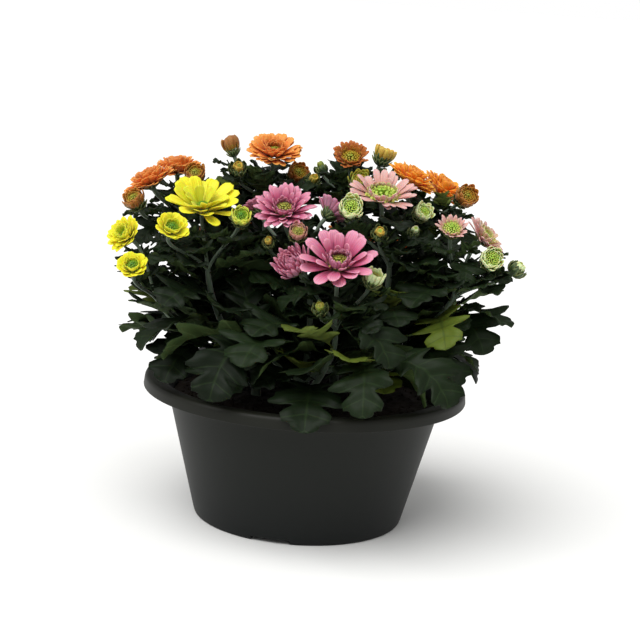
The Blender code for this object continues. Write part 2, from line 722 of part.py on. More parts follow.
def grow_floret(shape, root, frame, head, turn, count, row):
    """Draws one petal out of its root, a triangle of the core: sections with a keel below, and a tip."""
    reach, root_rise, tip_rise, shares = row
    axis, sideways, other = frame
    outward = sideways * math.cos(turn) + other * math.sin(turn)
    across = other * math.cos(turn) - sideways * math.sin(turn)
    point = (root[0].co + root[1].co) / 2
    start = (point - head_centre(head)).dot(outward)
    length = (head_radius(head) * reach - start) / math.cos(math.radians((root_rise + tip_rise) / 2))
    section, last = root, 0
    for share in (*shares, 1):
        rise = math.radians(root_rise + (tip_rise - root_rise) * share)
        forward = outward * math.cos(rise) + axis * math.sin(rise)
        point = point + forward * length * (share - last)
        last = share
        if share == 1:
            tip = shape.verts.new(point)
            for i in range(3):
                shape.faces.new((section[i], section[(i + 1) % 3], tip))
            break
        below = outward * math.sin(rise) - axis * math.cos(rise)
        taper = 1 if share == shares[-1] else PETAL_TAPER
        half = across * (point - head_centre(head)).dot(outward) * math.pi / count * PETAL_FILL * taper
        drawn = [shape.verts.new(spot) for spot in (point - half, point + half, point + below * PETAL_KEEL)]
        for i in range(3):
            shape.faces.new((section[i], section[(i + 1) % 3], drawn[(i + 1) % 3], drawn[i]))
        section = drawn


def build_rays(head, colour):
    """The ray florets of an open head: two rows of petals drawn out of the sides of one small core."""
    count, rows = ROWS[HEADS[head][1]]
    frame = head_frame(head)
    axis, sideways, other = frame
    step = math.tau / count
    shape = bmesh.new()

    def ring(turn, radius, height):
        spots = []
        for i in range(count):
            angle = turn + step * i
            outward = sideways * math.cos(angle) + other * math.sin(angle)
            spots.append(shape.verts.new(head_centre(head) + outward * radius + axis * height))
        return spots

    low = ring(0, core_radius(head), 0)
    shape.faces.new(low)
    for order, row in enumerate(rows):
        turn = step * order / 2
        radius = core_radius(head) * (1 - CORE_TAPER * order)
        high = ring(turn - step / 2, radius, ROW_RISE * (order + 1))
        for i in range(count):
            root = (high[i], high[(i + 1) % count], low[i])
            grow_floret(shape, root, frame, head, turn + step * i, count, row)
            shape.faces.new((low[i], high[(i + 1) % count], low[(i + 1) % count]))
        low = high[1:] + high[:1]
    shape.faces.new(high)
    bmesh.ops.recalc_face_normals(shape, faces=shape.faces)
    mesh = bpy.data.meshes.new("rays_" + head)
    shape.to_mesh(mesh)
    shape.free()
    mesh.materials.append(colour)
    add_object("rays_" + head, mesh)


def ridged(name, head, steps, ridges, finish):
    """A small round body with ridges like packed florets: steps are (height, width, depth of the grooves)."""
    axis, sideways, other = head_frame(head)
    rings = []
    for height, width, groove in steps:
        ring = []
        for i in range(2 * ridges):
            turn = math.pi * i / ridges
            outward = sideways * math.cos(turn) + other * math.sin(turn)
            ring.append(head_centre(head) + axis * height + outward * width * (1 - groove * (i % 2)))
        rings.append(ring)
    made = loft(name, rings, head_centre(head) + axis * steps[-1][0])
    made.data.materials.append(finish)


def build_eye(head):
    """The packed florets in the middle of an open head."""
    wide = head_radius(head) * EYE_SHARE
    low = 2 * ROW_RISE + GAP
    steps = ((low, wide, 0), (low + EYE_HEIGHT, wide * 0.9, 0.3))
    ridged("eye_" + head, head, steps, EYE_RIDGES, eye_yellow)


def build_button(head, colour):
    """A half-open bud: ray florets still curled in over the eye."""
    radius = head_radius(head)
    steps = [(radius * height, radius * width, groove) for height, width, groove in BUTTON_STEPS]
    ridged("bud_" + head, head, steps, BUTTON_RIDGES, colour)


for leftover in list(bpy.data.objects):
    bpy.data.objects.remove(leftover)
model = bpy.data.collections.new("pot chrysanthemum")
bpy.context.scene.collection.children.link(model)
bpy.context.view_layer.active_layer_collection = bpy.context.view_layer.layer_collection.children[model.name]

leaf_green = material("leaf green", LEAF_COLOUR, 0.6)
eye_yellow = material("eye yellow", EYE_COLOUR, 0.8)
petals = {name: material(name + " petals", colour, 0.6) for name, colour in PETAL_COLOURS.items()}

build_pot()
build_soil()
for plant, leaves in all_leaves().items():
    build_plant(plant, leaves)
for head, facts in HEADS.items():
    petal = petals[head.split("_")[0]]
    if facts[1] == "button":
        build_button(head, petal)
    elif facts[1] != "bud":
        build_rays(head, petal)
        if facts[1] == "full":
            build_eye(head)
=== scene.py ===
import itertools
import math
import random

import bmesh
import bpy
from mathutils import Matrix, Quaternion, Vector, noise
from mathutils.bvhtree import BVHTree


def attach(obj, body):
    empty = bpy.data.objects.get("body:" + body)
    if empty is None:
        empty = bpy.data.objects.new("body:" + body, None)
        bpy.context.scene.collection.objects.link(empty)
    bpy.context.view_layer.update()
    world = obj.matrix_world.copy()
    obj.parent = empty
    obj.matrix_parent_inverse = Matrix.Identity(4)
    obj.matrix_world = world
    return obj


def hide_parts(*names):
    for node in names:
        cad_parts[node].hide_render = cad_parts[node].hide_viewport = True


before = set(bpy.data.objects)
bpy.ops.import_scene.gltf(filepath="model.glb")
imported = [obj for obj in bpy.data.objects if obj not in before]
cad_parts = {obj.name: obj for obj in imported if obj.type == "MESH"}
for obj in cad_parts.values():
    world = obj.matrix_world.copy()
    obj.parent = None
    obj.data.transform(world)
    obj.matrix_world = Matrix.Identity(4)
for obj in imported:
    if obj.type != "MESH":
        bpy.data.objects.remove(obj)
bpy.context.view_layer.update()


# The bowl pot: one shot of black polypropylene from a polished tool. Its thin wall tapers so that pots nest, the
# rim turns over into a short skirt that stiffens it, and three notches in the foot let the water out.
MM = 0.001
POT_HEIGHT = 87 * MM
RIM_RADIUS = 100 * MM
RIM_SKIRT = 7.4 * MM
WALL_TOP_RADIUS = 85 * MM
WALL_FOOT_RADIUS = 66 * MM
WALL = 1.6 * MM
RIM_FLARE = 4.5 * MM
RIM_LIP = 3 * MM
CORNER = 2 * MM
FOOT_HEIGHT = 3 * MM
FOOT_WIDTH = 9 * MM
FOOT_SLOPE = 3 * MM
PAD_RADIUS = 22 * MM
POT_STEPS = 120
DRAIN_HOLES = 4
DRAIN_RADIUS = 5 * MM
FOOT_NOTCHES = 3
NOTCH_WIDTH = 24 * MM
NOTCH_HEIGHT = 2.7 * MM
NOTCH_TURN = math.radians(-103)
POT_FLOOR = FOOT_HEIGHT + WALL
SHOULDER = POT_HEIGHT - RIM_SKIRT
FOOT_IN = WALL_FOOT_RADIUS - FOOT_WIDTH


def linear(code):
    """The linear colour of an sRGB hex value."""
    shares = [int(code[i:i + 2], 16) / 255 for i in (1, 3, 5)]
    return tuple(c / 12.92 if c < 0.04045 else ((c + 0.055) / 1.055) ** 2.4 for c in shares) + (1.0,)


def add(tree, kind, *inputs, stops=(), **settings):
    """Adds a node with its settings. Its inputs are linked or set in order, and None leaves one as it is.

    Stops are the places of a colour ramp with their hex colours, or those of a curve with their values.
    """
    node = tree.nodes.new(kind)
    for name, value in settings.items():
        setattr(node, name, value)
    for socket, value in zip([s for s in node.inputs if s.enabled], inputs):
        if isinstance(value, bpy.types.Node):
            value = next(s for s in value.outputs if s.enabled)
        if isinstance(value, bpy.types.NodeSocket):
            tree.links.new(value, socket)
        elif value is not None:
            socket.default_value = value
    if kind == "ShaderNodeValToRGB":
        knots = node.color_ramp.elements
        for place, _ in stops[2:]:
            knots.new(place)
        for knot, (place, code) in zip(knots, stops):
            knot.position, knot.color = place, linear(code)
    elif stops:
        knots = node.mapping.curves[0].points
        for stop in stops[1:-1]:
            knots.new(*stop)
        for knot, stop in zip(knots, stops):
            knot.location = stop
        node.mapping.update()
    return node


def start_material(name, **values):
    """A new material, and its tree and shader, with values set on the shader's own sockets."""
    made = bpy.data.materials.new(name)
    made.use_nodes = True
    shader = made.node_tree.nodes["Principled BSDF"]
    for socket, value in values.items():
        shader.inputs[socket.replace("_", " ")].default_value = value
    return made, made.node_tree, shader


def add_piece(name, mesh, materials, nodes):
    """A finished mesh becomes a piece that rides on the one body and stands for CAD nodes."""
    made = bpy.data.objects.new(name, mesh)
    bpy.context.scene.collection.objects.link(made)
    mesh.materials.clear()
    for finish in materials:
        mesh.materials.append(finish)
    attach(made, "root")
    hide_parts(*nodes)
    return made


def turned(name, profile, steps):
    """A closed mesh turned about Z from an outline of (radius, height, corner radius) that ends on the axis."""
    points = []
    for i, (radius, height, corner) in enumerate(profile):
        spot = Vector((radius, height))
        if not corner:
            points.append(spot)
            continue
        before, after = (Vector(profile[j][:2]) - spot for j in (i - 1, i + 1))
        start = spot + before.normalized() * min(corner, before.length * 0.45)
        end = spot + after.normalized() * min(corner, after.length * 0.45)
        for share in (0, 0.2, 0.4, 0.6, 0.8, 1):
            points.append(start * (1 - share)**2 + spot * 2 * share * (1 - share) + end * share**2)
    shape = bmesh.new()
    rings = []
    for radius, height in points:
        if radius < 0.01 * MM:
            rings.append([shape.verts.new((0, 0, height))])
            continue
        turns = [math.tau * i / steps for i in range(steps)]
        rings.append([shape.verts.new((radius * math.cos(t), radius * math.sin(t), height)) for t in turns])
    for low, high in zip(rings, rings[1:]):
        for i in range(steps):
            j = (i + 1) % steps
            corners = (low[i % len(low)], low[j % len(low)], high[j % len(high)], high[i % len(high)])
            shape.faces.new(dict.fromkeys(corners))
    bmesh.ops.recalc_face_normals(shape, faces=shape.faces)
    mesh = bpy.data.meshes.new(name)
    shape.to_mesh(mesh)
    shape.free()
    return mesh


def evaluated(helper):
    """The plain mesh that a helper object comes to with its modifiers. The helper is removed."""
    graph = bpy.context.evaluated_depsgraph_get()
    mesh = bpy.data.meshes.new_from_object(helper.evaluated_get(graph))
    bpy.data.objects.remove(helper)
    return mesh


def link_helper(name, data):
    helper = bpy.data.objects.new(name, data)
    bpy.context.scene.collection.objects.link(helper)
    return helper


pot_profile = (
    (0, POT_FLOOR, 0),
    (WALL_FOOT_RADIUS - WALL - CORNER, POT_FLOOR, 2 * MM),
    (WALL_TOP_RADIUS - WALL, SHOULDER, 4 * MM),
    (WALL_TOP_RADIUS + RIM_FLARE - WALL / 2, POT_HEIGHT - WALL / 2, 3 * MM),
    (RIM_RADIUS - CORNER * 0.4, POT_HEIGHT, 3 * MM),
    (RIM_RADIUS, SHOULDER, 0.5 * MM),
    (RIM_RADIUS - WALL, SHOULDER, 0.5 * MM),
    (RIM_RADIUS - WALL - 0.5 * MM, POT_HEIGHT - RIM_LIP, 1.5 * MM),
    (WALL_TOP_RADIUS + RIM_FLARE, POT_HEIGHT - RIM_LIP, 2 * MM),
    (WALL_TOP_RADIUS, SHOULDER - CORNER, 5 * MM),
    (WALL_FOOT_RADIUS, 2 * CORNER, 1.5 * MM),
    (WALL_FOOT_RADIUS - CORNER * 0.6, 0, 1.2 * MM),
    (FOOT_IN, 0, 1 * MM),
    (FOOT_IN - FOOT_SLOPE, FOOT_HEIGHT, 1 * MM),
    (PAD_RADIUS + FOOT_SLOPE, FOOT_HEIGHT, 1 * MM),
    (PAD_RADIUS, 0, 1 * MM),
    (0, 0, 0),
)
pot_helper = link_helper("pot shell", turned("pot shell", pot_profile, POT_STEPS))
cutters = []
for i in range(DRAIN_HOLES):
    turn = math.tau * (i + 0.5) / DRAIN_HOLES
    channel = (PAD_RADIUS + FOOT_IN) / 2
    place = (channel * math.cos(turn), channel * math.sin(turn), 0)
    bpy.ops.mesh.primitive_cylinder_add(vertices=32, radius=DRAIN_RADIUS, depth=30 * MM, location=place)
    cutters.append(bpy.context.object)
for i in range(FOOT_NOTCHES):
    turn = NOTCH_TURN + math.tau * i / FOOT_NOTCHES
    middle = WALL_FOOT_RADIUS - FOOT_WIDTH / 2
    place = (middle * math.cos(turn), middle * math.sin(turn), 0)
    bpy.ops.mesh.primitive_cube_add(size=1, location=place, rotation=(0, 0, turn))
    notch = bpy.context.object
    notch.scale = (2 * FOOT_WIDTH, NOTCH_WIDTH, 2 * NOTCH_HEIGHT)
    bevel = notch.modifiers.new("Round", "BEVEL")
    bevel.width = 1.2 * MM
    bevel.segments = 3
    cutters.append(notch)
for cutter in cutters:
    opening = pot_helper.modifiers.new("Cut", "BOOLEAN")
    opening.object = cutter
    opening.operation = "DIFFERENCE"
pot_mesh = evaluated(pot_helper)
for cutter in cutters:
    bpy.data.objects.remove(cutter)
pot_mesh.shade_smooth()
pot_mesh.set_sharp_from_angle(angle=math.radians(40))

# Black polypropylene, moulded: a satin skin with a fine spark-eroded grain, and brownish dust and splashes dried on
# it, with a painted warm reflection that makes it browner towards the rim and darker and bluer at the foot
plastic, tree, shader = start_material("moulded black polypropylene", Roughness=0.42, IOR=1.49,
                                       Specular_IOR_Level=0.22)
coords = add(tree, "ShaderNodeTexCoord")
cloud = add(tree, "ShaderNodeTexNoise", coords.outputs["Object"], None, 14.0, 4.0, 0.5)
dust = add(tree, "ShaderNodeTexNoise", coords.outputs["Object"], None, 260.0, 8.0, 0.7)
height = add(tree, "ShaderNodeSeparateXYZ", coords.outputs["Object"])
# painted reflection: by height the skin turns browner towards the rim and darker and bluer towards the foot
warm_reflection_towards_rim = add(tree, "ShaderNodeMapRange", height.outputs["Z"], 0.0, POT_HEIGHT, -0.07, 0.08)
dust_and_reflection = add(tree, "ShaderNodeMath", cloud.outputs["Fac"], dust.outputs["Fac"], warm_reflection_towards_rim, operation="MULTIPLY_ADD")
skin = add(tree, "ShaderNodeValToRGB", dust_and_reflection, stops=((0.12, "#0a0e10"), (0.3, "#11140f"), (0.46, "#2a261b")))
tree.links.new(skin.outputs["Color"], shader.inputs["Base Color"])
gloss = add(tree, "ShaderNodeMapRange", dust.outputs["Fac"], 0.3, 0.75, 0.45, 0.6)
tree.links.new(gloss.outputs[0], shader.inputs["Roughness"])
# the grain starts at about 0.8 mm, coarser than a tool's real one of a tenth of that, so that it shows at all
grain = add(tree, "ShaderNodeTexNoise", coords.outputs["Object"], None, 1200.0, 3.0, 0.6)
relief = add(tree, "ShaderNodeBump", 0.2, 0.04 * MM, 0.1, grain.outputs["Fac"])
tree.links.new(relief.outputs[0], shader.inputs["Normal"])
add_piece("bowl_pot", pot_mesh, [plastic], ["pot"])


# The compost: dark moist peat, filled to below the rim and settled by watering, with crumbs loose on it.
# It fills the pot down to the floor with a hair of room to the wall, and the five stems are rooted in it.
SOIL_TOP = 75 * MM
SOIL_CROWN = 2 * MM
GAP = 0.3 * MM
SOIL_RINGS = 34
SOIL_STEPS = 128
LUMP_PITCH = 90
LUMP_HEIGHT = 1.6 * MM
CRUMBS = 500
CRUMB_SIZE = 1.3 * MM
CRUMB_SHAPES = (0.3, 0.3, 0.2), (1.5, 1.1, 0.9)
soil_floor = POT_FLOOR + GAP
soil_foot = WALL_FOOT_RADIUS - WALL - CORNER
soil_slope = (WALL_TOP_RADIUS - WALL - soil_foot) / (SHOULDER - soil_floor)
soil_edge = soil_foot + soil_slope * (SOIL_TOP - soil_floor) - 2 * GAP
soil_profile = [(soil_edge * i / SOIL_RINGS, SOIL_TOP + SOIL_CROWN * (1 - (i / SOIL_RINGS)**2), 0)
                for i in range(SOIL_RINGS)]
soil_profile += [(soil_edge, SOIL_TOP, 0), (soil_foot - 2 * GAP, soil_floor, 0), (0, soil_floor, 0)]
soil_mesh = turned("compost", soil_profile, SOIL_STEPS)
for vertex in soil_mesh.vertices:
    if vertex.co.z > SOIL_TOP - 0.5 * MM:
        vertex.co.z += noise.fractal(vertex.co * LUMP_PITCH, 0.8, 2.2, 5) * LUMP_HEIGHT


def new_tree(name, result="Geometry", **sockets):
    """A Geometry Nodes tree with one output and these inputs, given as kind of socket for each name."""
    tree = bpy.data.node_groups.new(name, "GeometryNodeTree")
    tree.interface.new_socket(result, in_out="OUTPUT", socket_type="NodeSocket" + result)
    for socket, kind in sockets.items():
        tree.interface.new_socket(socket.replace("_", " "), in_out="INPUT", socket_type="NodeSocket" + kind)
    return tree, add(tree, "NodeGroupInput").outputs


crumb_tree, given = new_tree("crumbs of compost", Geometry="Geometry", Per_square_metre="Float", Size="Float",
                             Material="Material")
spot = add(crumb_tree, "GeometryNodeInputPosition")
height = add(crumb_tree, "ShaderNodeSeparateXYZ", spot)
on_top = add(crumb_tree, "FunctionNodeCompare", height.outputs["Z"], SOIL_TOP - 1 * MM, operation="GREATER_THAN")
spots = add(crumb_tree, "GeometryNodeDistributePointsOnFaces", given["Geometry"], on_top,
            given["Per square metre"], 3)
lump = add(crumb_tree, "GeometryNodeMeshIcoSphere", given["Size"], 1)
size = add(crumb_tree, "FunctionNodeRandomValue", *CRUMB_SHAPES, None, 5, data_type="FLOAT_VECTOR")
turn = add(crumb_tree, "FunctionNodeRandomValue", (0, 0, 0), (math.tau, math.tau, math.tau), None, 6,
           data_type="FLOAT_VECTOR")
lumps = add(crumb_tree, "GeometryNodeInstanceOnPoints", spots, None, lump, None, None, turn, size)
both = add(crumb_tree, "GeometryNodeJoinGeometry", add(crumb_tree, "GeometryNodeRealizeInstances", lumps))
crumb_tree.links.new(given["Geometry"], both.inputs[0])
painted = add(crumb_tree, "GeometryNodeSetMaterial", both, None, given["Material"])
add(crumb_tree, "NodeGroupOutput", painted)


def grow(tree, values, data=None):
    """Runs a Geometry Nodes tree with these inputs, on a mesh or curve where it needs one."""
    helper = link_helper("grown", data or bpy.data.meshes.new("grown"))
    made = helper.modifiers.new("Grow", "NODES")
    made.node_group = tree
    for socket in tree.interface.items_tree:
        if socket.item_type == "SOCKET" and socket.in_out == "INPUT" and socket.name in values:
            made[socket.identifier] = values[socket.name]
    return evaluated(helper)


# Moist peat: nearly black brown and matt, with paler clods, in crumbs of about 1 to 4 mm
peat, tree, shader = start_material("moist peat compost", Roughness=0.95)
coords = add(tree, "ShaderNodeTexCoord")
clods = add(tree, "ShaderNodeTexNoise", coords.outputs["Object"], None, 260.0, 8.0, 0.75)
shade = add(tree, "ShaderNodeValToRGB", clods.outputs["Fac"],
            stops=((0.3, "#150f0b"), (0.55, "#2b1e15"), (0.72, "#4a3423")))
tree.links.new(shade.outputs["Color"], shader.inputs["Base Color"])
relief = add(tree, "ShaderNodeBump", 0.9, 0.8 * MM, 0.1, clods.outputs["Fac"])
tree.links.new(relief.outputs[0], shader.inputs["Normal"])
crumbs = {"Per square metre": CRUMBS / (math.pi * soil_edge**2), "Size": CRUMB_SIZE, "Material": peat}
add_piece("compost", grow(crumb_tree, crumbs, soil_mesh), [peat], ["soil"])


# The stems: five rooted cuttings, each pinched so that it branches into shoots, and every shoot forks into flower
# stalks. They are ribbed and finely downy, and a green calyx of small bracts holds each head.
TRUNK_RADIUS = 3.2 * MM
TRUNK_DEPTH = 20 * MM
TRUNK_RISE = 18 * MM
TRUNK_TAPER = 0.8
SHOOT_RADIUS = 2.3 * MM
SHOOT_TAPER = 0.3
SHOOT_START = 5 * MM
SHOOT_STEP = 4.5 * MM
STALK_RADIUS = 1.0 * MM
FULL_STALK = 1.25
CALYX_LENGTH = 4.5 * MM
SHOOT_PULL = 0.38
SHOOT_UPRIGHT = 0.7
STALK_PULL = 0.35
END_PULL = 0.3
SHOOT_POINTS = 14
STALK_POINTS = 10
STEM_STEP = 2.5 * MM
STEM_SIDES = 12
RIB_DEPTH = 0.14
# Where each plant's stem leaves the soil, in mm
PLANTS = {"pink": (0, -32), "pale": (30, -10), "bronze": (18, 26), "apricot": (-18, 26), "yellow": (-30, -10)}

# Each shoot: its plant, and the point in mm where it splits into flower stalks. Some carry leaves only
SHOOTS = {
    "pink_front": ("pink", (16, -56, 130)),
    "pink_middle": ("pink", (-4, -24, 156)),
    "pink_leafy_left": ("pink", (-32, -54, 118)),
    "pink_leafy_right": ("pink", (40, -64, 112)),
    "pale_middle": ("pale", (46, -20, 163)),
    "pale_right": ("pale", (86, -15, 146)),
    "pale_leafy": ("pale", (80, 12, 122)),
    "bronze_top": ("bronze", (20, 33, 190)),
    "bronze_right": ("bronze", (66, 32, 180)),
    "bronze_back": ("bronze", (34, 76, 136)),
    "bronze_leafy": ("bronze", (76, 44, 120)),
    "apricot_top": ("apricot", (-32, 34, 188)),
    "apricot_left": ("apricot", (-80, 36, 176)),
    "apricot_back": ("apricot", (-40, 74, 136)),
    "apricot_leafy": ("apricot", (-70, 56, 118)),
    "yellow_middle": ("yellow", (-62, -32, 156)),
    "yellow_left": ("yellow", (-92, -22, 134)),
    "yellow_leafy": ("yellow", (-82, 8, 120)),
}

# Each head: its shoot, its form, its centre in mm, how far it leans, towards where, and its width in mm
HEADS = {
    "pink_front": ("pink_front", "full", (15, -62, 171), 24, -88, 43),
    "pink_side": ("pink_front", "cup", (-10, -44, 163), 40, -160, 23),
    "pink_bud_right": ("pink_front", "button", (35, -56, 160), 25, -40, 13),
    "pink_bud_low": ("pink_front", "bud", (6, -70, 145), 20, -110, 8),
    "pink_middle": ("pink_middle", "full", (-19, -26, 195), 20, -95, 38),
    "pink_far": ("pink_middle", "cup", (-36, 4, 190), 35, 150, 21),
    "pink_behind": ("pink_middle", "cup", (8, -5, 191), 50, 40, 25),
    "pink_button": ("pink_middle", "button", (-10, -38, 182), 25, -80, 12),
    "pink_bud_left": ("pink_middle", "bud", (-27, -34, 176), 25, -120, 7),
    "yellow_front": ("yellow_middle", "full", (-68, -20, 193), 24, -80, 44),
    "yellow_cup": ("yellow_middle", "cup", (-83, -52, 182), 32, -50, 25),
    "yellow_button": ("yellow_middle", "button", (-44, -38, 189), 30, -70, 13),
    "yellow_left": ("yellow_left", "cup", (-112, -22, 172), 52, 195, 27),
    "yellow_low": ("yellow_left", "cup", (-105, -46, 157), 20, -95, 23),
    "apricot_top": ("apricot_top", "full", (-29, 32, 223), 14, -85, 36),
    "apricot_half": ("apricot_top", "cup", (-56, 46, 221), 25, 140, 19),
    "apricot_bud": ("apricot_top", "bud", (-50, 20, 212), 15, -90, 10),
    "apricot_button": ("apricot_top", "button", (-15, 47, 206), 30, -20, 15),
    "apricot_bud_right": ("apricot_top", "bud", (-4, 36, 206), 30, -20, 9),
    "apricot_left": ("apricot_left", "full", (-104, 16, 201), 30, 165, 38),
    "apricot_far": ("apricot_left", "full", (-92, 62, 205), 14, 110, 37),
    "apricot_small": ("apricot_left", "button", (-77, 24, 204), 10, -90, 14),
    "apricot_low": ("apricot_left", "button", (-109, -8, 190), 30, 200, 14),
    "apricot_back": ("apricot_back", "full", (-46, 84, 163), 35, 112, 36),
    "apricot_back_left": ("apricot_back", "full", (-82, 62, 158), 45, 142, 32),
    "apricot_back_button": ("apricot_back", "button", (-20, 92, 152), 40, 100, 13),
    "bronze_top": ("bronze_top", "cup", (19, 36, 220), 16, -95, 24),
    "bronze_bud": ("bronze_top", "button", (39, 46, 221), 22, 25, 15),
    "bronze_green": ("bronze_top", "button", (25, 13, 208), 20, -90, 14),
    "bronze_tiny": ("bronze_top", "bud", (1, 42, 214), 25, 150, 7),
    "orange_middle": ("bronze_right", "full", (57, 14, 213), 30, 30, 35),
    "orange_right": ("bronze_right", "full", (79, 56, 203), 34, 15, 37),
    "orange_button": ("bronze_right", "button", (90, 22, 202), 45, -20, 16),
    "orange_back": ("bronze_back", "full", (24, 88, 165), 35, 75, 35),
    "orange_back_right": ("bronze_back", "full", (64, 76, 158), 42, 50, 34),
    "orange_back_button": ("bronze_back", "button", (44, 96, 150), 45, 65, 13),
    "pale_front": ("pale_middle", "full", (39, -16, 206), 18, -85, 40),
    "pale_button": ("pale_middle", "button", (20, -35, 198), 35, -90, 16),
    "pale_bud": ("pale_middle", "button", (63, -8, 195), 45, -30, 12),
    "pale_bud_low": ("pale_middle", "bud", (38, -38, 186), 20, -90, 9),
    "pale_bud_small": ("pale_middle", "bud", (59, -20, 186), 30, -40, 7),
    "pale_cup": ("pale_right", "cup", (81, -24, 188), 15, -80, 22),
    "pale_right": ("pale_right", "full", (104, 2, 182), 48, 5, 33),
    "pale_button_right": ("pale_right", "button", (105, -28, 173), 50, -60, 15),
    "pale_bud_right": ("pale_right", "bud", (123, -12, 166), 45, 0, 10),
}


def along(curve, share):
    """The point of a cubic Bezier curve at a share of its parameter."""
    a, b, c, d = curve
    rest = 1 - share
    return a * rest**3 + b * 3 * rest**2 * share + c * 3 * rest * share**2 + d * share**3


def direction(lean, towards):
    """The unit vector that leans from +Z by lean, towards a compass angle from +X, both in degrees."""
    lean, towards = math.radians(lean), math.radians(towards)
    return Vector((math.sin(lean) * math.cos(towards), math.sin(lean) * math.sin(towards), math.cos(lean)))


def head_centre(head):
    return Vector(HEADS[head][2]) * MM


def head_axis(head):
    return direction(HEADS[head][3], HEADS[head][4])


def head_radius(head):
    return HEADS[head][5] * MM / 2


def shoots_of(plant):
    return [shoot for shoot in SHOOTS if SHOOTS[shoot][0] == plant]


def heads_of(shoot):
    return [head for head in HEADS if HEADS[head][0] == shoot]


def shoot_curve(shoot):
    """The curve of a shoot's stem, from its plant's short trunk up to where it splits."""
    plant, fork = SHOOTS[shoot]
    x, y = PLANTS[plant]
    order = shoots_of(plant).index(shoot)
    start = Vector((x * MM, y * MM, SOIL_TOP + SHOOT_START + SHOOT_STEP * order))
    end = Vector(fork) * MM
    carried = [head_centre(head) - end for head in heads_of(shoot)]
    out = Vector((end.x - start.x, end.y - start.y, 0))
    aim = (sum(carried, Vector()) or end - start + out).normalized()
    reach = (end - start).length
    leave = (Vector((0, 0, SHOOT_UPRIGHT)) * reach + out) * SHOOT_PULL
    return (start, start + leave, end - aim * reach * END_PULL, end)


def head_curve(head):
    """The curve of a flower stalk, from the fork of its shoot to under its head."""
    shoot = HEADS[head][0]
    curve = shoot_curve(shoot)
    fork = curve[3]
    end = head_centre(head) - head_axis(head) * (CALYX_LENGTH + GAP)
    reach = (end - fork).length
    aim = ((curve[3] - curve[2]).normalized() + (end - fork).normalized()).normalized()
    return (fork, fork + aim * reach * STALK_PULL, end - head_axis(head) * reach * END_PULL, end)


stem_tree, given = new_tree("ribbed stem", Geometry="Geometry", Depth="Float", Material="Material")
run = add(stem_tree, "GeometryNodeResampleCurve", given["Geometry"], None, STEM_STEP, mode="LENGTH")
ring = add(stem_tree, "GeometryNodeCurvePrimitiveCircle", STEM_SIDES, None, None, None, 1.0)
index = add(stem_tree, "GeometryNodeInputIndex")
odd = add(stem_tree, "ShaderNodeMath", index, 2.0, operation="MODULO")
deep = add(stem_tree, "ShaderNodeMath", odd, given["Depth"], operation="MULTIPLY")
keep = add(stem_tree, "ShaderNodeMath", 1.0, deep, operation="SUBTRACT")
spot = add(stem_tree, "GeometryNodeInputPosition")
ribbed = add(stem_tree, "ShaderNodeVectorMath", spot, keep, operation="SCALE")
profile = add(stem_tree, "GeometryNodeSetPosition", ring, None, ribbed)
thick = add(stem_tree, "GeometryNodeInputRadius")
tube = add(stem_tree, "GeometryNodeCurveToMesh", run, profile, thick, True)
smooth = add(stem_tree, "GeometryNodeSetShadeSmooth", tube)
painted = add(stem_tree, "GeometryNodeSetMaterial", smooth, None, given["Material"])
add(stem_tree, "NodeGroupOutput", painted)

# Living stem: downy and grey green, mottled, with a soft sheen from the down
stem_skin, tree, shader = start_material("downy green stem", Roughness=0.6, Subsurface_Weight=0.1,
                                         Subsurface_Scale=1 * MM, Sheen_Weight=0.35, Sheen_Roughness=0.5)
coords = add(tree, "ShaderNodeTexCoord")
mottle = add(tree, "ShaderNodeTexNoise", coords.outputs["Object"], None, 60.0, 6.0, 0.6)
shade = add(tree, "ShaderNodeValToRGB", mottle.outputs["Fac"],
            stops=((0.3, "#3f4f36"), (0.5, "#566751"), (0.7, "#6f7d62")))
tree.links.new(shade.outputs["Color"], shader.inputs["Base Color"])
# the down is in tufts of about 0.6 mm, coarser than its real single hairs
down = add(tree, "ShaderNodeTexNoise", coords.outputs["Object"], None, 1600.0, 2.0, 0.5)
relief = add(tree, "ShaderNodeBump", 0.4, 0.1 * MM, 0.1, down.outputs["Fac"])
tree.links.new(relief.outputs[0], shader.inputs["Normal"])


def stem_curve(runs):
    """A curve with a spline for each run of (points, radii)."""
    curve = bpy.data.curves.new("stems", "CURVE")
    curve.dimensions = "3D"
    for points, radii in runs:
        spline = curve.splines.new("POLY")
        spline.points.add(len(points) - 1)
        for knot, point, radius in zip(spline.points, points, radii):
            knot.co = (*point, 1)
            knot.radius = radius
    return curve


def shoot_run(shoot):
    curve = shoot_curve(shoot)
    shares = [i / SHOOT_POINTS for i in range(SHOOT_POINTS + 1)]
    radii = [SHOOT_RADIUS * (1 - SHOOT_TAPER * share) for share in shares]
    return [along(curve, share) for share in shares], radii


def stalk_run(head):
    """The points and radii of a flower stalk, which swells a little where it meets its head."""
    curve = head_curve(head)
    thin = STALK_RADIUS * FULL_STALK if HEADS[head][1] == "full" else STALK_RADIUS
    shares = [i / STALK_POINTS for i in range(STALK_POINTS + 1)]
    radii = [thin * (1.15 - 0.15 * min(1, 5 * share) + 0.35 * max(0, share - 0.8) / 0.2) for share in shares]
    return [along(curve, share) for share in shares], radii


stems = {}
for plant, (x, y) in PLANTS.items():
    foot = Vector((x * MM, y * MM, SOIL_TOP - TRUNK_DEPTH + GAP))
    top = Vector((x * MM, y * MM, SOIL_TOP + TRUNK_RISE))
    runs = [([foot, (foot + top) / 2, top], [TRUNK_RADIUS, TRUNK_RADIUS, TRUNK_RADIUS * TRUNK_TAPER])]
    for shoot in shoots_of(plant):
        runs.append(shoot_run(shoot))
        runs += [stalk_run(head) for head in heads_of(shoot)]
    stems[plant] = grow(stem_tree, {"Depth": RIB_DEPTH, "Material": stem_skin}, stem_curve(runs))
    add_piece("stems_" + plant, stems[plant], [stem_skin], ["plant_" + plant])


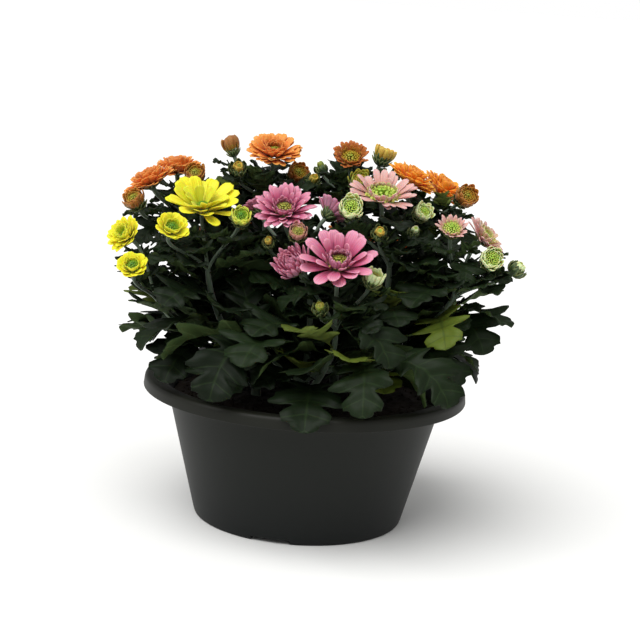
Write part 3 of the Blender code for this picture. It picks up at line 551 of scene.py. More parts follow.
# The leaves: lobed blades on flat stalks, large and dark low down and smaller towards the heads. A blade arches over
# its rib, its side veins are sunk above and stand out below, and its underside is paler and downy.
# The plain outlines that find free places are in shares of a leaf's length: (along, half width)
LEAF_EDGE = ((0.0, 0.016), (0.24, 0.018), (0.38, 0.24), (0.5, 0.11), (0.68, 0.28), (0.78, 0.13))
SMALL_LEAF_EDGE = ((0.0, 0.02), (0.2, 0.024), (0.52, 0.2))
SMALL_LEAF = 41 * MM
LEAF_RIB = (0.5, 0.78)
LEAF_LENGTHS = (70 * MM, 42 * MM)
STALK_LEAF_LENGTH = 38 * MM
STALK_LEAVES = ((0.12, 80), (0.5, -70))
STALK_LEAF_STEP = 75
LEAF_SPACING = 23 * MM
LEAF_FOLD = math.radians(14)
LEAF_SHRINK_FROM = 95 * MM
LEAF_SHRINK_OVER = 85 * MM
LEAF_SHARE_LOW = 0.08
LEAF_SHARE_HIGH = 0.97
# Turns of a stem's leaves, one after another, from the way that points out of the bush: low ones, then high
LEAF_TURNS = (0, 66, -66, 30, -30, 104, -104)
HIGH_LEAF_TURNS = (0, 137, -85, 52, 180, -42, 95, -128)
HIGH_LEAVES_FROM = 140 * MM
LEAF_RISE = (28, 50)
LEAF_DROOP = (72, 112)
LEAF_ROLL = 28
# The leaves between them stand up more and bend less
MORE_RISE = (22, 55)
MORE_DROOP = (12, 60)
SEED = 7

# A leaf that finds its place taken tries these turns, tilts and sizes, until one clears the rest by this room
TRY_TURNS = (0, 24, -24, 48, -48, 75, -75, 105, -105, 140, -140, 175)
TRY_TILTS = (0, 18, -15)
TRY_SIZES = (1, 0.85, 0.72)
LEAF_ROOM = 1.3 * MM
MORE_SPACING = 5.5 * MM
MORE_TURN = 137.5
MORE_LENGTHS = (56 * MM, 34 * MM)
MORE_SHARE_LOW = 0.1
TOP_TURN = 60
LEAF_STRAY = 9
LEAF_SIZES = (0.92, 1.06)
STALK_SPRIGS = ((0.08, 34 * MM), (0.3, 28 * MM), (0.6, 22 * MM))
TOP_SPRIGS = ((0.2, 34 * MM), (0.45, 28 * MM), (0.72, 22 * MM))
LEAF_SPREAD = 15 * MM
MORE_ROOM = 0.5 * MM
MORE_SPREAD = 8 * MM
TOP_SPREAD = 6 * MM
HEAD_ROOM = 2 * MM
HEAD_MIDDLE = 0.3
STALK_SPOTS = 16
SHOOT_SPOTS = 32
STEM_ROOM = 1.2 * MM
STEM_NEAR = 13 * MM
SOIL_EDGE = 74 * MM
SOIL_ROOM = 4 * MM
RIM_ROOM = 1.6 * MM
LEAF_HANG = 25 * MM
BUSH_RADIUS = 124 * MM
BUSH_SHIFT = 5 * MM


def leaf_points(base, turn, rise, droop, roll, length):
    """The points of a leaf: its edge from root to tip down each side, and its rib.

    The rib is an arc that leaves its base at the rise and has turned down by the droop at its tip.
    The two halves fold up from it, and the roll turns the blade about it.
    """
    outward = Vector((math.cos(turn), math.sin(turn), 0))
    across = Vector((-math.sin(turn), math.cos(turn), 0))

    def place(share, half_width):
        angle = rise - droop * share
        run = (math.sin(rise) - math.sin(angle)) / droop * length
        climb = (math.cos(angle) - math.cos(rise)) / droop * length
        normal = Vector((0, 0, math.cos(angle))) - outward * math.sin(angle)
        side = across * math.cos(roll) + normal * math.sin(roll)
        up = normal * math.cos(roll) - across * math.sin(roll)
        lift = up * abs(half_width) * math.sin(LEAF_FOLD) + side * half_width * math.cos(LEAF_FOLD)
        return base + outward * run + Vector((0, 0, climb)) + lift * length

    outline = LEAF_EDGE if length > SMALL_LEAF else SMALL_LEAF_EDGE
    left = [place(share, width) for share, width in outline]
    right = [place(share, -width) for share, width in outline]
    return left, right, [place(share, 0) for share in LEAF_RIB], place(1, 0)


def leaf_faces(points):
    """The triangles of a leaf's blade, the same on either side of the rib."""
    left, right, rib, tip = points
    faces = [(left[0], right[0], right[1]), (left[0], right[1], left[1]), (left[1], right[1], rib[0])]
    for edge in (left, right):
        if len(edge) == len(SMALL_LEAF_EDGE):
            half = [(edge[1], rib[0], edge[2]), (rib[0], tip, edge[2])]
        else:
            half = [(edge[1], rib[0], edge[3]), (edge[1], edge[3], edge[2]), (rib[0], edge[4], edge[3]),
                    (rib[0], edge[5], edge[4]), (rib[0], rib[1], edge[5]), (rib[1], tip, edge[5])]
        faces += half if edge is left else [(a, c, b) for a, b, c in half]
    return faces


def leaf_tree(points, room=0.0):
    """A search tree of a leaf's blade, or of the blade with some free room on either side of it."""
    corners = []
    for a, b, c in leaf_faces(points):
        away = (b - a).cross(c - a).normalized() * room
        corners += [a, b, c]
        if room:
            corners += [a + away, b + away, c + away, a - away, b - away, c - away]
    return BVHTree.FromPolygons(corners, [(i, i + 1, i + 2) for i in range(0, len(corners), 3)])


def clears_pot(points):
    """Whether a leaf stays above the soil, inside the bush's round outline and clear of the pot's rim."""
    left, right, rib, tip = points
    for point in (*left[1:], *right[1:], *rib, tip):
        radius = math.hypot(point.x, point.y)
        floor = SOIL_TOP + SOIL_ROOM if radius < SOIL_EDGE else POT_HEIGHT + RIM_ROOM
        if radius > RIM_RADIUS + SOIL_ROOM:
            floor = POT_HEIGHT - LEAF_HANG
        if point.z < floor or math.hypot(point.x - BUSH_SHIFT, point.y) > BUSH_RADIUS:
            return False
    return True


def spots_to_clear():
    """What leaves keep clear of: (point, room) for every head, then the same for points down every stem."""
    heads, stems = [], []
    for head in HEADS:
        radius = head_radius(head)
        heads.append((head_centre(head) + head_axis(head) * radius * HEAD_MIDDLE, radius + HEAD_ROOM))
        curve = head_curve(head)
        stems += [(along(curve, i / STALK_SPOTS), STALK_RADIUS + STEM_ROOM) for i in range(STALK_SPOTS + 1)]
    for shoot in SHOOTS:
        curve = shoot_curve(shoot)
        stems += [(along(curve, i / SHOOT_SPOTS), SHOOT_RADIUS + STEM_ROOM) for i in range(SHOOT_SPOTS + 1)]
    return heads, stems


def place_leaf(base, turn, rise, droop, roll, length, grown, heads, stems, room=LEAF_ROOM, apart=LEAF_SPREAD):
    """Finds the first free place for a leaf near the turn that it should have, smaller if it must be.

    A free leaf crosses nothing: no head, stem or other leaf. It is also spread from the leaves that have
    grown before it.
    """
    near = [(spot, free) for spot, free in heads if (spot - base).length < length + free]
    near += [(spot, free) for spot, free in stems if STEM_NEAR < (spot - base).length < length + free]
    grown = [(tree, middle) for tree, middle in grown if (middle - base).length < 2 * LEAF_LENGTHS[0]]
    best = None
    for size, shift, tilt in itertools.product(TRY_SIZES, TRY_TURNS, TRY_TILTS):
        if best is not None and size != best_size:
            break
        facts = (base, turn + math.radians(shift), rise + math.radians(tilt), droop, roll, length * size)
        points = leaf_points(*facts)
        if not clears_pot(points):
            continue
        middle = points[2][1]
        spread = min(((middle - other).length for _, other in grown), default=1)
        if best is not None and spread <= best[0]:
            continue
        tree = leaf_tree(points)
        if any(tree.find_nearest(spot, free)[0] is not None for spot, free in near):
            continue
        roomy = leaf_tree(points, room)
        if any(roomy.overlap(other) for other, _ in grown):
            continue
        best, best_size = (spread, facts, tree, middle), size
        if spread > apart:
            break
    return best


def leaf_length(base, lengths):
    """How long a leaf is: the first of two lengths low on the plant, and the second near the heads."""
    height = max(0, min(1, (base.z - LEAF_SHRINK_FROM) / LEAF_SHRINK_OVER))
    return lengths[0] + (lengths[1] - lengths[0]) * height


def leaf_roots(plant):
    """Where a plant's leaves grow: (point on the stem, turn from the pot's axis in degrees, length)."""
    roots = []
    for order, shoot in enumerate(shoots_of(plant)):
        curve = shoot_curve(shoot)
        count = max(3, round((curve[3] - curve[0]).length / LEAF_SPACING))
        for i in range(count + 1):
            base = along(curve, LEAF_SHARE_LOW + (LEAF_SHARE_HIGH - LEAF_SHARE_LOW) * i / count)
            turns = LEAF_TURNS if base.z < HIGH_LEAVES_FROM else HIGH_LEAF_TURNS
            roots.append((base, turns[(i + 3 * order) % len(turns)], leaf_length(base, LEAF_LENGTHS)))
        for i, head in enumerate(head for head in heads_of(shoot) if HEADS[head][1] == "full"):
            for share, turn in STALK_LEAVES:
                roots.append((along(head_curve(head), share), turn + STALK_LEAF_STEP * i, STALK_LEAF_LENGTH))
    return roots


def more_roots(plant):
    """Where the leaves between those grow: all round each shoot and stalk, smaller towards the heads."""
    roots = []
    for shoot in shoots_of(plant):
        curve = shoot_curve(shoot)
        count = round((curve[3] - curve[0]).length / MORE_SPACING)
        for i in range(count):
            base = along(curve, MORE_SHARE_LOW + (1 - MORE_SHARE_LOW) * (i + 0.5) / count)
            roots.append((base, MORE_TURN * i, leaf_length(base, MORE_LENGTHS)))
        for head in heads_of(shoot):
            for share, length in STALK_SPRIGS:
                roots.append((along(head_curve(head), share), MORE_TURN * len(roots), length))
    return roots


def top_roots(plant):
    """Where the last small leaves grow, on the flower stalks between the others."""
    roots = []
    for shoot in shoots_of(plant):
        for head in heads_of(shoot):
            for share, length in TOP_SPRIGS:
                roots.append((along(head_curve(head), share), TOP_TURN + MORE_TURN * len(roots), length))
    return roots


def all_leaves():
    """Every plant's leaves: first the main ones, then those that find a free place between them."""
    draw = random.Random(SEED)
    heads, stems = spots_to_clear()
    leaves, grown = {plant: [] for plant in PLANTS}, []
    passes = ((leaf_roots, LEAF_ROOM, LEAF_SPREAD, LEAF_RISE, LEAF_DROOP),
              (more_roots, MORE_ROOM, MORE_SPREAD, MORE_RISE, MORE_DROOP),
              (top_roots, MORE_ROOM, TOP_SPREAD, MORE_RISE, MORE_DROOP))
    for roots_of, room, apart, rises, droops in passes:
        for plant in PLANTS:
            for base, turn, length in roots_of(plant):
                turn = math.atan2(base.y, base.x) + math.radians(turn + draw.uniform(-LEAF_STRAY, LEAF_STRAY))
                rise = math.radians(draw.uniform(*rises))
                droop = math.radians(draw.uniform(*droops))
                roll = math.radians(draw.uniform(-LEAF_ROLL, LEAF_ROLL))
                length *= draw.uniform(*LEAF_SIZES)
                found = place_leaf(base, turn, rise, droop, roll, length, grown, heads, stems, room, apart)
                if found:
                    leaves[plant].append(found[1])
                    grown.append(found[2:])
    return leaves


# Where a point of a leaf, petal or bract goes: its blade bends along an arc, rolls about it and turns about Z
blade_bend, given = new_tree("bend of a blade", "Vector", Share="Float", Side="Float", Lift="Float", Rise="Float",
                             Droop="Float", Roll="Float", Length="Float", Turn="Float", Root="Vector")
turned_by = add(blade_bend, "ShaderNodeMath", given["Droop"], given["Share"], operation="MULTIPLY")
angle = add(blade_bend, "ShaderNodeMath", given["Rise"], turned_by, operation="SUBTRACT")
angles = add(blade_bend, "ShaderNodeCombineXYZ", given["Rise"], angle, given["Roll"])
sines = add(blade_bend, "ShaderNodeSeparateXYZ", add(blade_bend, "ShaderNodeVectorMath", angles, operation="SINE"))
cosines = add(blade_bend, "ShaderNodeVectorMath", angles, operation="COSINE")
cosines = add(blade_bend, "ShaderNodeSeparateXYZ", cosines)
unit = add(blade_bend, "ShaderNodeMath", given["Length"], given["Droop"], operation="DIVIDE")
run = add(blade_bend, "ShaderNodeMath", sines.outputs[0], sines.outputs[1], operation="SUBTRACT")
run = add(blade_bend, "ShaderNodeMath", run, unit, operation="MULTIPLY")
climb = add(blade_bend, "ShaderNodeMath", cosines.outputs[1], cosines.outputs[0], operation="SUBTRACT")
climb = add(blade_bend, "ShaderNodeMath", climb, unit, operation="MULTIPLY")
side_out = add(blade_bend, "ShaderNodeMath", given["Side"], cosines.outputs[2], operation="MULTIPLY")
lift_out = add(blade_bend, "ShaderNodeMath", given["Lift"], sines.outputs[2], operation="MULTIPLY")
across = add(blade_bend, "ShaderNodeMath", side_out, lift_out, operation="SUBTRACT")
side_up = add(blade_bend, "ShaderNodeMath", given["Side"], sines.outputs[2], operation="MULTIPLY")
raised = add(blade_bend, "ShaderNodeMath", given["Lift"], cosines.outputs[2], side_up, operation="MULTIPLY_ADD")
back = add(blade_bend, "ShaderNodeMath", sines.outputs[1], raised, operation="MULTIPLY")
out = add(blade_bend, "ShaderNodeMath", run, back, operation="SUBTRACT")
up = add(blade_bend, "ShaderNodeMath", cosines.outputs[1], raised, climb, operation="MULTIPLY_ADD")
local = add(blade_bend, "ShaderNodeCombineXYZ", out, across, up)
rooted = add(blade_bend, "ShaderNodeVectorMath", local, given["Root"], operation="ADD")
swung = add(blade_bend, "ShaderNodeVectorRotate", rooted, None, given["Turn"], rotation_type="Z_AXIS")
add(blade_bend, "NodeGroupOutput", swung)


LEAF_ROWS = 43
LEAF_COLUMNS = 5
# Half widths of the blade, for the side veins that leave the rib at these shares of its length: three pairs of
# lobes, each with a few blunt teeth
LEAF_LOBES = ((0.0, 0.022), (0.16, 0.018), (0.2, 0.05), (0.24, 0.2), (0.275, 0.215), (0.31, 0.265), (0.345, 0.22),
              (0.37, 0.18), (0.4, 0.12), (0.43, 0.09), (0.465, 0.17), (0.505, 0.265), (0.54, 0.26), (0.575, 0.315),
              (0.615, 0.265), (0.65, 0.2), (0.69, 0.11), (0.725, 0.15), (0.765, 0.205), (0.8, 0.19), (0.835, 0.185),
              (0.87, 0.12), (0.91, 0.11), (0.95, 0.07), (1.0, 0.0))
VEIN_SLANT = 0.55
# Six pairs of side veins, with the swells between them, and how the edge waves: turns in radians over the blade
VEIN_PHASE = 37.0
EDGE_PHASE = 15.0
SWELL_SHARE = 0.35
BLADE_RELIEF = 7 * MM


def blades_on(tree, points, rows, columns):
    """Sets a flat blade on every point. Gives their mesh, the share along each blade, and its flat coordinates."""
    grid = add(tree, "GeometryNodeMeshGrid", 1.0, 2.0, rows, columns)
    placed = add(tree, "GeometryNodeInstanceOnPoints", points, None, grid)
    # the points carry their facts, which the instances keep
    real = add(tree, "GeometryNodeRealizeInstances", placed)
    flat = add(tree, "ShaderNodeSeparateXYZ", add(tree, "GeometryNodeInputPosition"))
    share = add(tree, "ShaderNodeMath", flat.outputs["X"], 0.5, operation="ADD")
    uv = add(tree, "ShaderNodeMath", flat.outputs["Y"], 0.5, 0.5, operation="MULTIPLY_ADD")
    uv = add(tree, "ShaderNodeCombineXYZ", share, uv)
    mapped = add(tree, "GeometryNodeStoreNamedAttribute", real, None, "UVMap", uv, data_type="FLOAT2",
                 domain="CORNER")
    return mapped, share, flat


blade_tree, given = new_tree("lobed leaves", Leaves="Geometry", Slant="Float", Relief="Float",
                             Material="Material")
mapped, vein, flat = blades_on(blade_tree, given["Leaves"], LEAF_ROWS, LEAF_COLUMNS)
half = add(blade_tree, "ShaderNodeFloatCurve", None, vein, stops=LEAF_LOBES)
facts = add(blade_tree, "GeometryNodeInputNamedAttribute", "bend", data_type="FLOAT_VECTOR")
bend = add(blade_tree, "ShaderNodeSeparateXYZ", facts)
facts = add(blade_tree, "GeometryNodeInputNamedAttribute", "size", data_type="FLOAT_VECTOR")
size = add(blade_tree, "ShaderNodeSeparateXYZ", facts)
base = add(blade_tree, "GeometryNodeInputNamedAttribute", "base", data_type="FLOAT_VECTOR")
wide = add(blade_tree, "ShaderNodeMath", flat.outputs["Y"], half, operation="MULTIPLY")
wide = add(blade_tree, "ShaderNodeMath", wide, size.outputs["X"], operation="MULTIPLY")
away = add(blade_tree, "ShaderNodeMath", wide, operation="ABSOLUTE")
forward = add(blade_tree, "ShaderNodeMath", away, given["Slant"], operation="MULTIPLY")
forward = add(blade_tree, "ShaderNodeMath", forward, size.outputs["X"], operation="DIVIDE")
share = add(blade_tree, "ShaderNodeMath", vein, forward, operation="ADD")
# the side veins run where the lobes are, and the blade swells up between them and waves at its edge
phase = add(blade_tree, "ShaderNodeMath", vein, VEIN_PHASE, operation="MULTIPLY")
swell = add(blade_tree, "ShaderNodeMath", phase, operation="SINE")
edge = add(blade_tree, "ShaderNodeMath", flat.outputs["Y"], 2.0, operation="POWER")
phase = add(blade_tree, "ShaderNodeMath", vein, EDGE_PHASE, size.outputs["Z"], operation="MULTIPLY_ADD")
wave = add(blade_tree, "ShaderNodeMath", add(blade_tree, "ShaderNodeMath", phase, operation="SINE"), edge,
           operation="MULTIPLY")
relief = add(blade_tree, "ShaderNodeMath", swell, SWELL_SHARE, wave, operation="MULTIPLY_ADD")
relief = add(blade_tree, "ShaderNodeMath", relief, given["Relief"], operation="MULTIPLY")
relief = add(blade_tree, "ShaderNodeMath", relief, half, operation="MULTIPLY")
side = add(blade_tree, "ShaderNodeMath", wide, math.cos(LEAF_FOLD), operation="MULTIPLY")
lift = add(blade_tree, "ShaderNodeMath", away, math.sin(LEAF_FOLD), relief, operation="MULTIPLY_ADD")
bent = add(blade_tree, "GeometryNodeGroup", share, side, lift, bend.outputs["X"], bend.outputs["Y"],
           bend.outputs["Z"], size.outputs["X"], size.outputs["Y"], None, node_tree=blade_bend)
place = add(blade_tree, "ShaderNodeVectorMath", bent, base, operation="ADD")
moved = add(blade_tree, "GeometryNodeSetPosition", mapped, None, place)
smooth = add(blade_tree, "GeometryNodeSetShadeSmooth", moved)
painted = add(blade_tree, "GeometryNodeSetMaterial", smooth, None, given["Material"])
add(blade_tree, "NodeGroupOutput", painted)

# Upper side of a chrysanthemum leaf: dark and downy, with paler sunk veins, and a few lighter leaves, some young and
# some with painted light
leaf_top, tree, shader = start_material("chrysanthemum leaf, upper side", Roughness=0.55, Subsurface_Weight=0.06,
                                        Specular_IOR_Level=0.14, Subsurface_Scale=1 * MM)
leaf_under, under_tree, under_shader = start_material("chrysanthemum leaf, underside", Roughness=0.75,
                                                      Specular_IOR_Level=0.14,
                                                      Subsurface_Weight=0.06, Subsurface_Scale=1 * MM)
for tree, shader, tones, rib in ((tree, shader, ("#0a1307", "#16240d", "#53611f"), "#293a1c"),
                                 (under_tree, under_shader, ("#26351c", "#3a4a24", "#74823a"), "#54643a")):
    youth_and_light = add(tree, "ShaderNodeAttribute", attribute_name="youth_and_light")
    coords = add(tree, "ShaderNodeTexCoord")
    mottle = add(tree, "ShaderNodeTexNoise", coords.outputs["Object"], None, 140.0, 6.0, 0.6)
    # a lighter leaf: painted light on the listed leaves, young growth at random on the others
    tone = add(tree, "ShaderNodeMath", mottle.outputs["Fac"], 0.3, youth_and_light.outputs["Fac"], operation="MULTIPLY_ADD")
    blade = add(tree, "ShaderNodeValToRGB", tone, stops=((0.12, tones[0]), (0.45, tones[1]), (0.95, tones[2])))
    veins = add(tree, "ShaderNodeSeparateXYZ", coords.outputs["UV"])
    aside = add(tree, "ShaderNodeMath", veins.outputs["Y"], 0.5, operation="SUBTRACT")
    aside = add(tree, "ShaderNodeMath", aside, operation="ABSOLUTE")
    middle = add(tree, "ShaderNodeMapRange", aside, 0.0, 0.05, 1.0, 0.0)
    phase = add(tree, "ShaderNodeMath", veins.outputs["X"], VEIN_PHASE, operation="MULTIPLY")
    branch = add(tree, "ShaderNodeMath", phase, operation="SINE")
    branch = add(tree, "ShaderNodeMapRange", branch, -1.0, -0.93, 0.7, 0.0)
    netting = add(tree, "ShaderNodeMath", middle, branch, operation="MAXIMUM")
    share = add(tree, "ShaderNodeMath", netting, 0.45, operation="MULTIPLY")
    drawn = add(tree, "ShaderNodeMix", share, blade.outputs["Color"], linear(rib), data_type="RGBA")
    tree.links.new(drawn.outputs[2], shader.inputs["Base Color"])
    # the net between the veins starts at about 1.4 mm, a little coarser than real
    fine = add(tree, "ShaderNodeTexNoise", coords.outputs["Object"], None, 700.0, 4.0, 0.6)
    height = add(tree, "ShaderNodeMath", netting, -0.6, fine.outputs["Fac"], operation="MULTIPLY_ADD")
    relief = add(tree, "ShaderNodeBump", 0.5, 0.3 * MM, 0.1, height)
    tree.links.new(relief.outputs[0], shader.inputs["Normal"])

LEAF_SKIN = 0.4 * MM
YOUNG = 0.07
LIGHTER_TONES = (0.55, 0.95)
OLD_AGES = (0.0, 0.3)
LOOKS_SEED = 11
# Leaves painted lighter olive green as painted light, by plant and order of growth, and those picked off in front of
# stems
LEAVES_PAINTED_LIT = {"pink": (27, 42, 74), "pale": (0, 10, 25), "yellow": (31, 39)}
PICKED_LEAVES = {"pink": (20, 25, 28, 40, 85), "yellow": (5, 23, 60), "pale": (30, 44, 55, 57)}
# The leaf that hangs over the rim in front: where it leaves its shoot, its turn, rise and droop, and its length
HANGING_LEAF = (0.2, -92, 30, 75, 74 * MM)


def add_skin(made, thickness):
    """Gives a piece of single faces its thickness, with the second material behind."""
    skin = made.modifiers.new("Skin", "SOLIDIFY")
    skin.thickness = thickness
    skin.material_offset = 1


draw = random.Random(LOOKS_SEED)
grown_leaves = all_leaves()
share, *angles, length = HANGING_LEAF
turn, rise, droop = map(math.radians, angles)
grown_leaves["pink"].append((along(shoot_curve("pink_front"), share), turn, rise, droop, 0.0, length))
for plant, leaves in grown_leaves.items():
    kept = [i for i in range(len(leaves)) if i not in PICKED_LEAVES.get(plant, ())]
    # the listed leaves are painted lighter for the light on them; a plant without a list gets young leaves at random
    young_and_painted_light = [i in LEAVES_PAINTED_LIT[plant] if plant in LEAVES_PAINTED_LIT else draw.random() < YOUNG for i in kept]
    leaves = [leaves[i] for i in kept]
    points = bpy.data.meshes.new("leaf points")
    points.from_pydata([(0, 0, 0)] * len(leaves), [], [])
    youth_and_light_values = [draw.uniform(*(LIGHTER_TONES if lighter_leaf else OLD_AGES)) for lighter_leaf in young_and_painted_light]
    bends = [(rise, droop, roll) for _, _, rise, droop, roll, _ in leaves]
    sizes = [(length, turn, draw.uniform(0, 6)) for _, turn, _, _, _, length in leaves]
    bases = [tuple(leaf[0]) for leaf in leaves]
    for name, values in (("bend", bends), ("size", sizes), ("base", bases)):
        held = points.attributes.new(name, "FLOAT_VECTOR", "POINT")
        held.data.foreach_set("vector", [number for value in values for number in value])
    points.attributes.new("youth_and_light", "FLOAT", "POINT").data.foreach_set("value", youth_and_light_values)
    blades = grow(blade_tree, {"Slant": VEIN_SLANT, "Relief": BLADE_RELIEF, "Material": leaf_top}, points)
    made = add_piece("leaves_" + plant, blades, [leaf_top, leaf_under], ["plant_" + plant])
    add_skin(made, LEAF_SKIN)


# The heads: many ray florets in spiral rows on one small core. Outer ones open first and lie flat, and inner ones
# still stand or curl in. Each is a soft strap with a round tip and shallow grooves, paler behind.
FLORET = ("Root_radius", "Root_height", "Length", "Width", "Rise", "Droop", "Trough")
GOLDEN_TURN = math.pi * (3 - math.sqrt(5))
ROUND_OUTLINE = ((0.0, 0.3), (0.25, 0.55), (0.6, 0.93), (0.8, 1.0), (0.93, 0.82), (1.0, 0.4))
POINTED_OUTLINE = ((0.0, 0.42), (0.3, 0.8), (0.6, 1.0), (0.8, 0.88), (0.93, 0.55), (1.0, 0.14))
BRACT_OUTLINE = ((0.0, 0.75), (0.35, 1.0), (0.7, 0.8), (1.0, 0.2))


def floret_tree(name, outline, rows, columns):
    """A tree that sets florets or bracts in a spiral. Each size runs from the outermost to the innermost."""
    sockets = {"Count": "Int", "Seed": "Int"}
    for facts in FLORET:
        sockets.update({facts + "_out": "Float", facts + "_in": "Float"})
    sockets.update(Open="Float", Shut="Float", Skew="Float", Jitter="Float", Material="Material")
    tree, given = new_tree(name, **sockets)
    points = add(tree, "GeometryNodePoints", given["Count"])
    index = add(tree, "GeometryNodeInputIndex")
    last = add(tree, "ShaderNodeMath", given["Count"], 1.0, operation="SUBTRACT")
    row = add(tree, "ShaderNodeMath", index, last, operation="DIVIDE")
    chance = add(tree, "FunctionNodeRandomValue", (-1, -1, -1), (1, 1, 1), index, given["Seed"],
                 data_type="FLOAT_VECTOR")
    points = add(tree, "GeometryNodeStoreNamedAttribute", points, None, "row", row, data_type="FLOAT")
    points = add(tree, "GeometryNodeStoreNamedAttribute", points, None, "chance", chance, data_type="FLOAT_VECTOR")
    points = add(tree, "GeometryNodeStoreNamedAttribute", points, None, "order", index, data_type="FLOAT")
    mapped, share, flat = blades_on(tree, points, rows, columns)
    row = add(tree, "GeometryNodeInputNamedAttribute", "row", data_type="FLOAT")
    order = add(tree, "GeometryNodeInputNamedAttribute", "order", data_type="FLOAT")
    chance = add(tree, "GeometryNodeInputNamedAttribute", "chance", data_type="FLOAT_VECTOR")
    chance = add(tree, "ShaderNodeSeparateXYZ", chance)
    size = {}
    for facts in FLORET:
        facts = facts.replace("_", " ")
        size[facts] = add(tree, "ShaderNodeMapRange", row, given["Open"], given["Shut"], given[facts + " out"],
                          given[facts + " in"], interpolation_type="SMOOTHSTEP")
    turn = add(tree, "ShaderNodeMath", order, GOLDEN_TURN, operation="MULTIPLY")
    turn = add(tree, "ShaderNodeMath", chance.outputs["X"], 0.12, turn, operation="MULTIPLY_ADD")
    downhill = add(tree, "ShaderNodeMath", turn, operation="COSINE")
    downhill = add(tree, "ShaderNodeMath", downhill, given["Skew"], operation="MULTIPLY")
    rise = add(tree, "ShaderNodeMath", size["Rise"], downhill, operation="SUBTRACT")
    rise = add(tree, "ShaderNodeMath", chance.outputs["Y"], given["Jitter"], rise, operation="MULTIPLY_ADD")
    droop = add(tree, "ShaderNodeMath", chance.outputs["Z"], given["Jitter"], size["Droop"],
                operation="MULTIPLY_ADD")
    half = add(tree, "ShaderNodeFloatCurve", None, share, stops=outline)
    wide = add(tree, "ShaderNodeMath", half, size["Width"], operation="MULTIPLY")
    wide = add(tree, "ShaderNodeMath", wide, 0.5, operation="MULTIPLY")
    side = add(tree, "ShaderNodeMath", wide, flat.outputs["Y"], operation="MULTIPLY")
    hollow = add(tree, "ShaderNodeMath", flat.outputs["Y"], 2.0, operation="POWER")
    hollow = add(tree, "ShaderNodeMath", hollow, size["Trough"], operation="MULTIPLY")
    lift = add(tree, "ShaderNodeMath", hollow, wide, operation="MULTIPLY")
    longer = add(tree, "ShaderNodeMath", chance.outputs["Z"], 0.07, 1.0, operation="MULTIPLY_ADD")
    length = add(tree, "ShaderNodeMath", size["Length"], longer, operation="MULTIPLY")
    roll = add(tree, "ShaderNodeMath", chance.outputs["X"], given["Jitter"], operation="MULTIPLY")
    root = add(tree, "ShaderNodeCombineXYZ", size["Root radius"], None, size["Root height"])
    bent = add(tree, "GeometryNodeGroup", share, side, lift, rise, droop, roll, length, turn, root,
               node_tree=blade_bend)
    moved = add(tree, "GeometryNodeSetPosition", mapped, None, bent)
    smooth = add(tree, "GeometryNodeSetShadeSmooth", moved)
    painted = add(tree, "GeometryNodeSetMaterial", smooth, None, given["Material"])
    add(tree, "NodeGroupOutput", painted)
    return tree


round_tree = floret_tree("round ray florets", ROUND_OUTLINE, 11, 5)
short_tree = floret_tree("short ray florets", ROUND_OUTLINE, 8, 4)
pointed_tree = floret_tree("pointed ray florets", POINTED_OUTLINE, 9, 4)
bract_tree = floret_tree("green bracts", BRACT_OUTLINE, 5, 3)
# Heads that nod to the front, and by how many degrees
NODS = {"pink_front": 7, "pink_middle": 14, "pale_front": 3, "apricot_top": 11, "bronze_top": 24, "yellow_cup": 14,
        "yellow_low": 22, "pale_cup": 24, "pink_side": 25, "yellow_button": 24, "pale_button": 24,
        "pink_button": 26, "pale_button_right": 26, "pale_bud": 26, "apricot_small": 30, "apricot_button": 30,
        "orange_button": 34, "bronze_green": 20, "yellow_left": 30, "apricot_left": 10, "apricot_far": 14,
        "orange_middle": 20, "orange_right": 16, "pale_right": 16, "apricot_low": 24, "pink_bud_low": 30,
        "pink_bud_left": 34, "apricot_bud": 40, "apricot_bud_right": 34, "pale_bud_low": 36, "pale_bud_small": 20,
        "pale_bud_right": 14, "bronze_bud": 8}
FRONT = Vector((0, -1, 0.2))


def head_matrix(head):
    """Where a head's own frame is: Z along its axis, and X downhill where it leans."""
    axis = head_axis(head)
    axis.rotate(Quaternion(axis.cross(FRONT), math.radians(NODS.get(head, 0))))
    downhill = (axis * axis.z - Vector((0, 0, 1))).normalized()
    turned_to = Matrix((downhill, axis.cross(downhill), axis)).transposed().to_4x4()
    return Matrix.Translation(head_centre(head)) @ turned_to


def floret_values(finish, count, seed, opening=(0.0, 1.0), skew=0, jitter=6, **sizes):
    """The inputs of a floret tree: lengths in metres and angles in degrees, outermost and innermost."""
    values = {"Count": count, "Seed": seed, "Open": opening[0], "Shut": opening[1], "Skew": math.radians(skew),
              "Jitter": math.radians(jitter), "Material": finish}
    for name, pair in sizes.items():
        for end, value in zip(("_out", "_in"), pair):
            angle = name in ("Rise", "Droop")
            values[(name + end).replace("_", " ")] = float(math.radians(value) if angle else value)
    return values


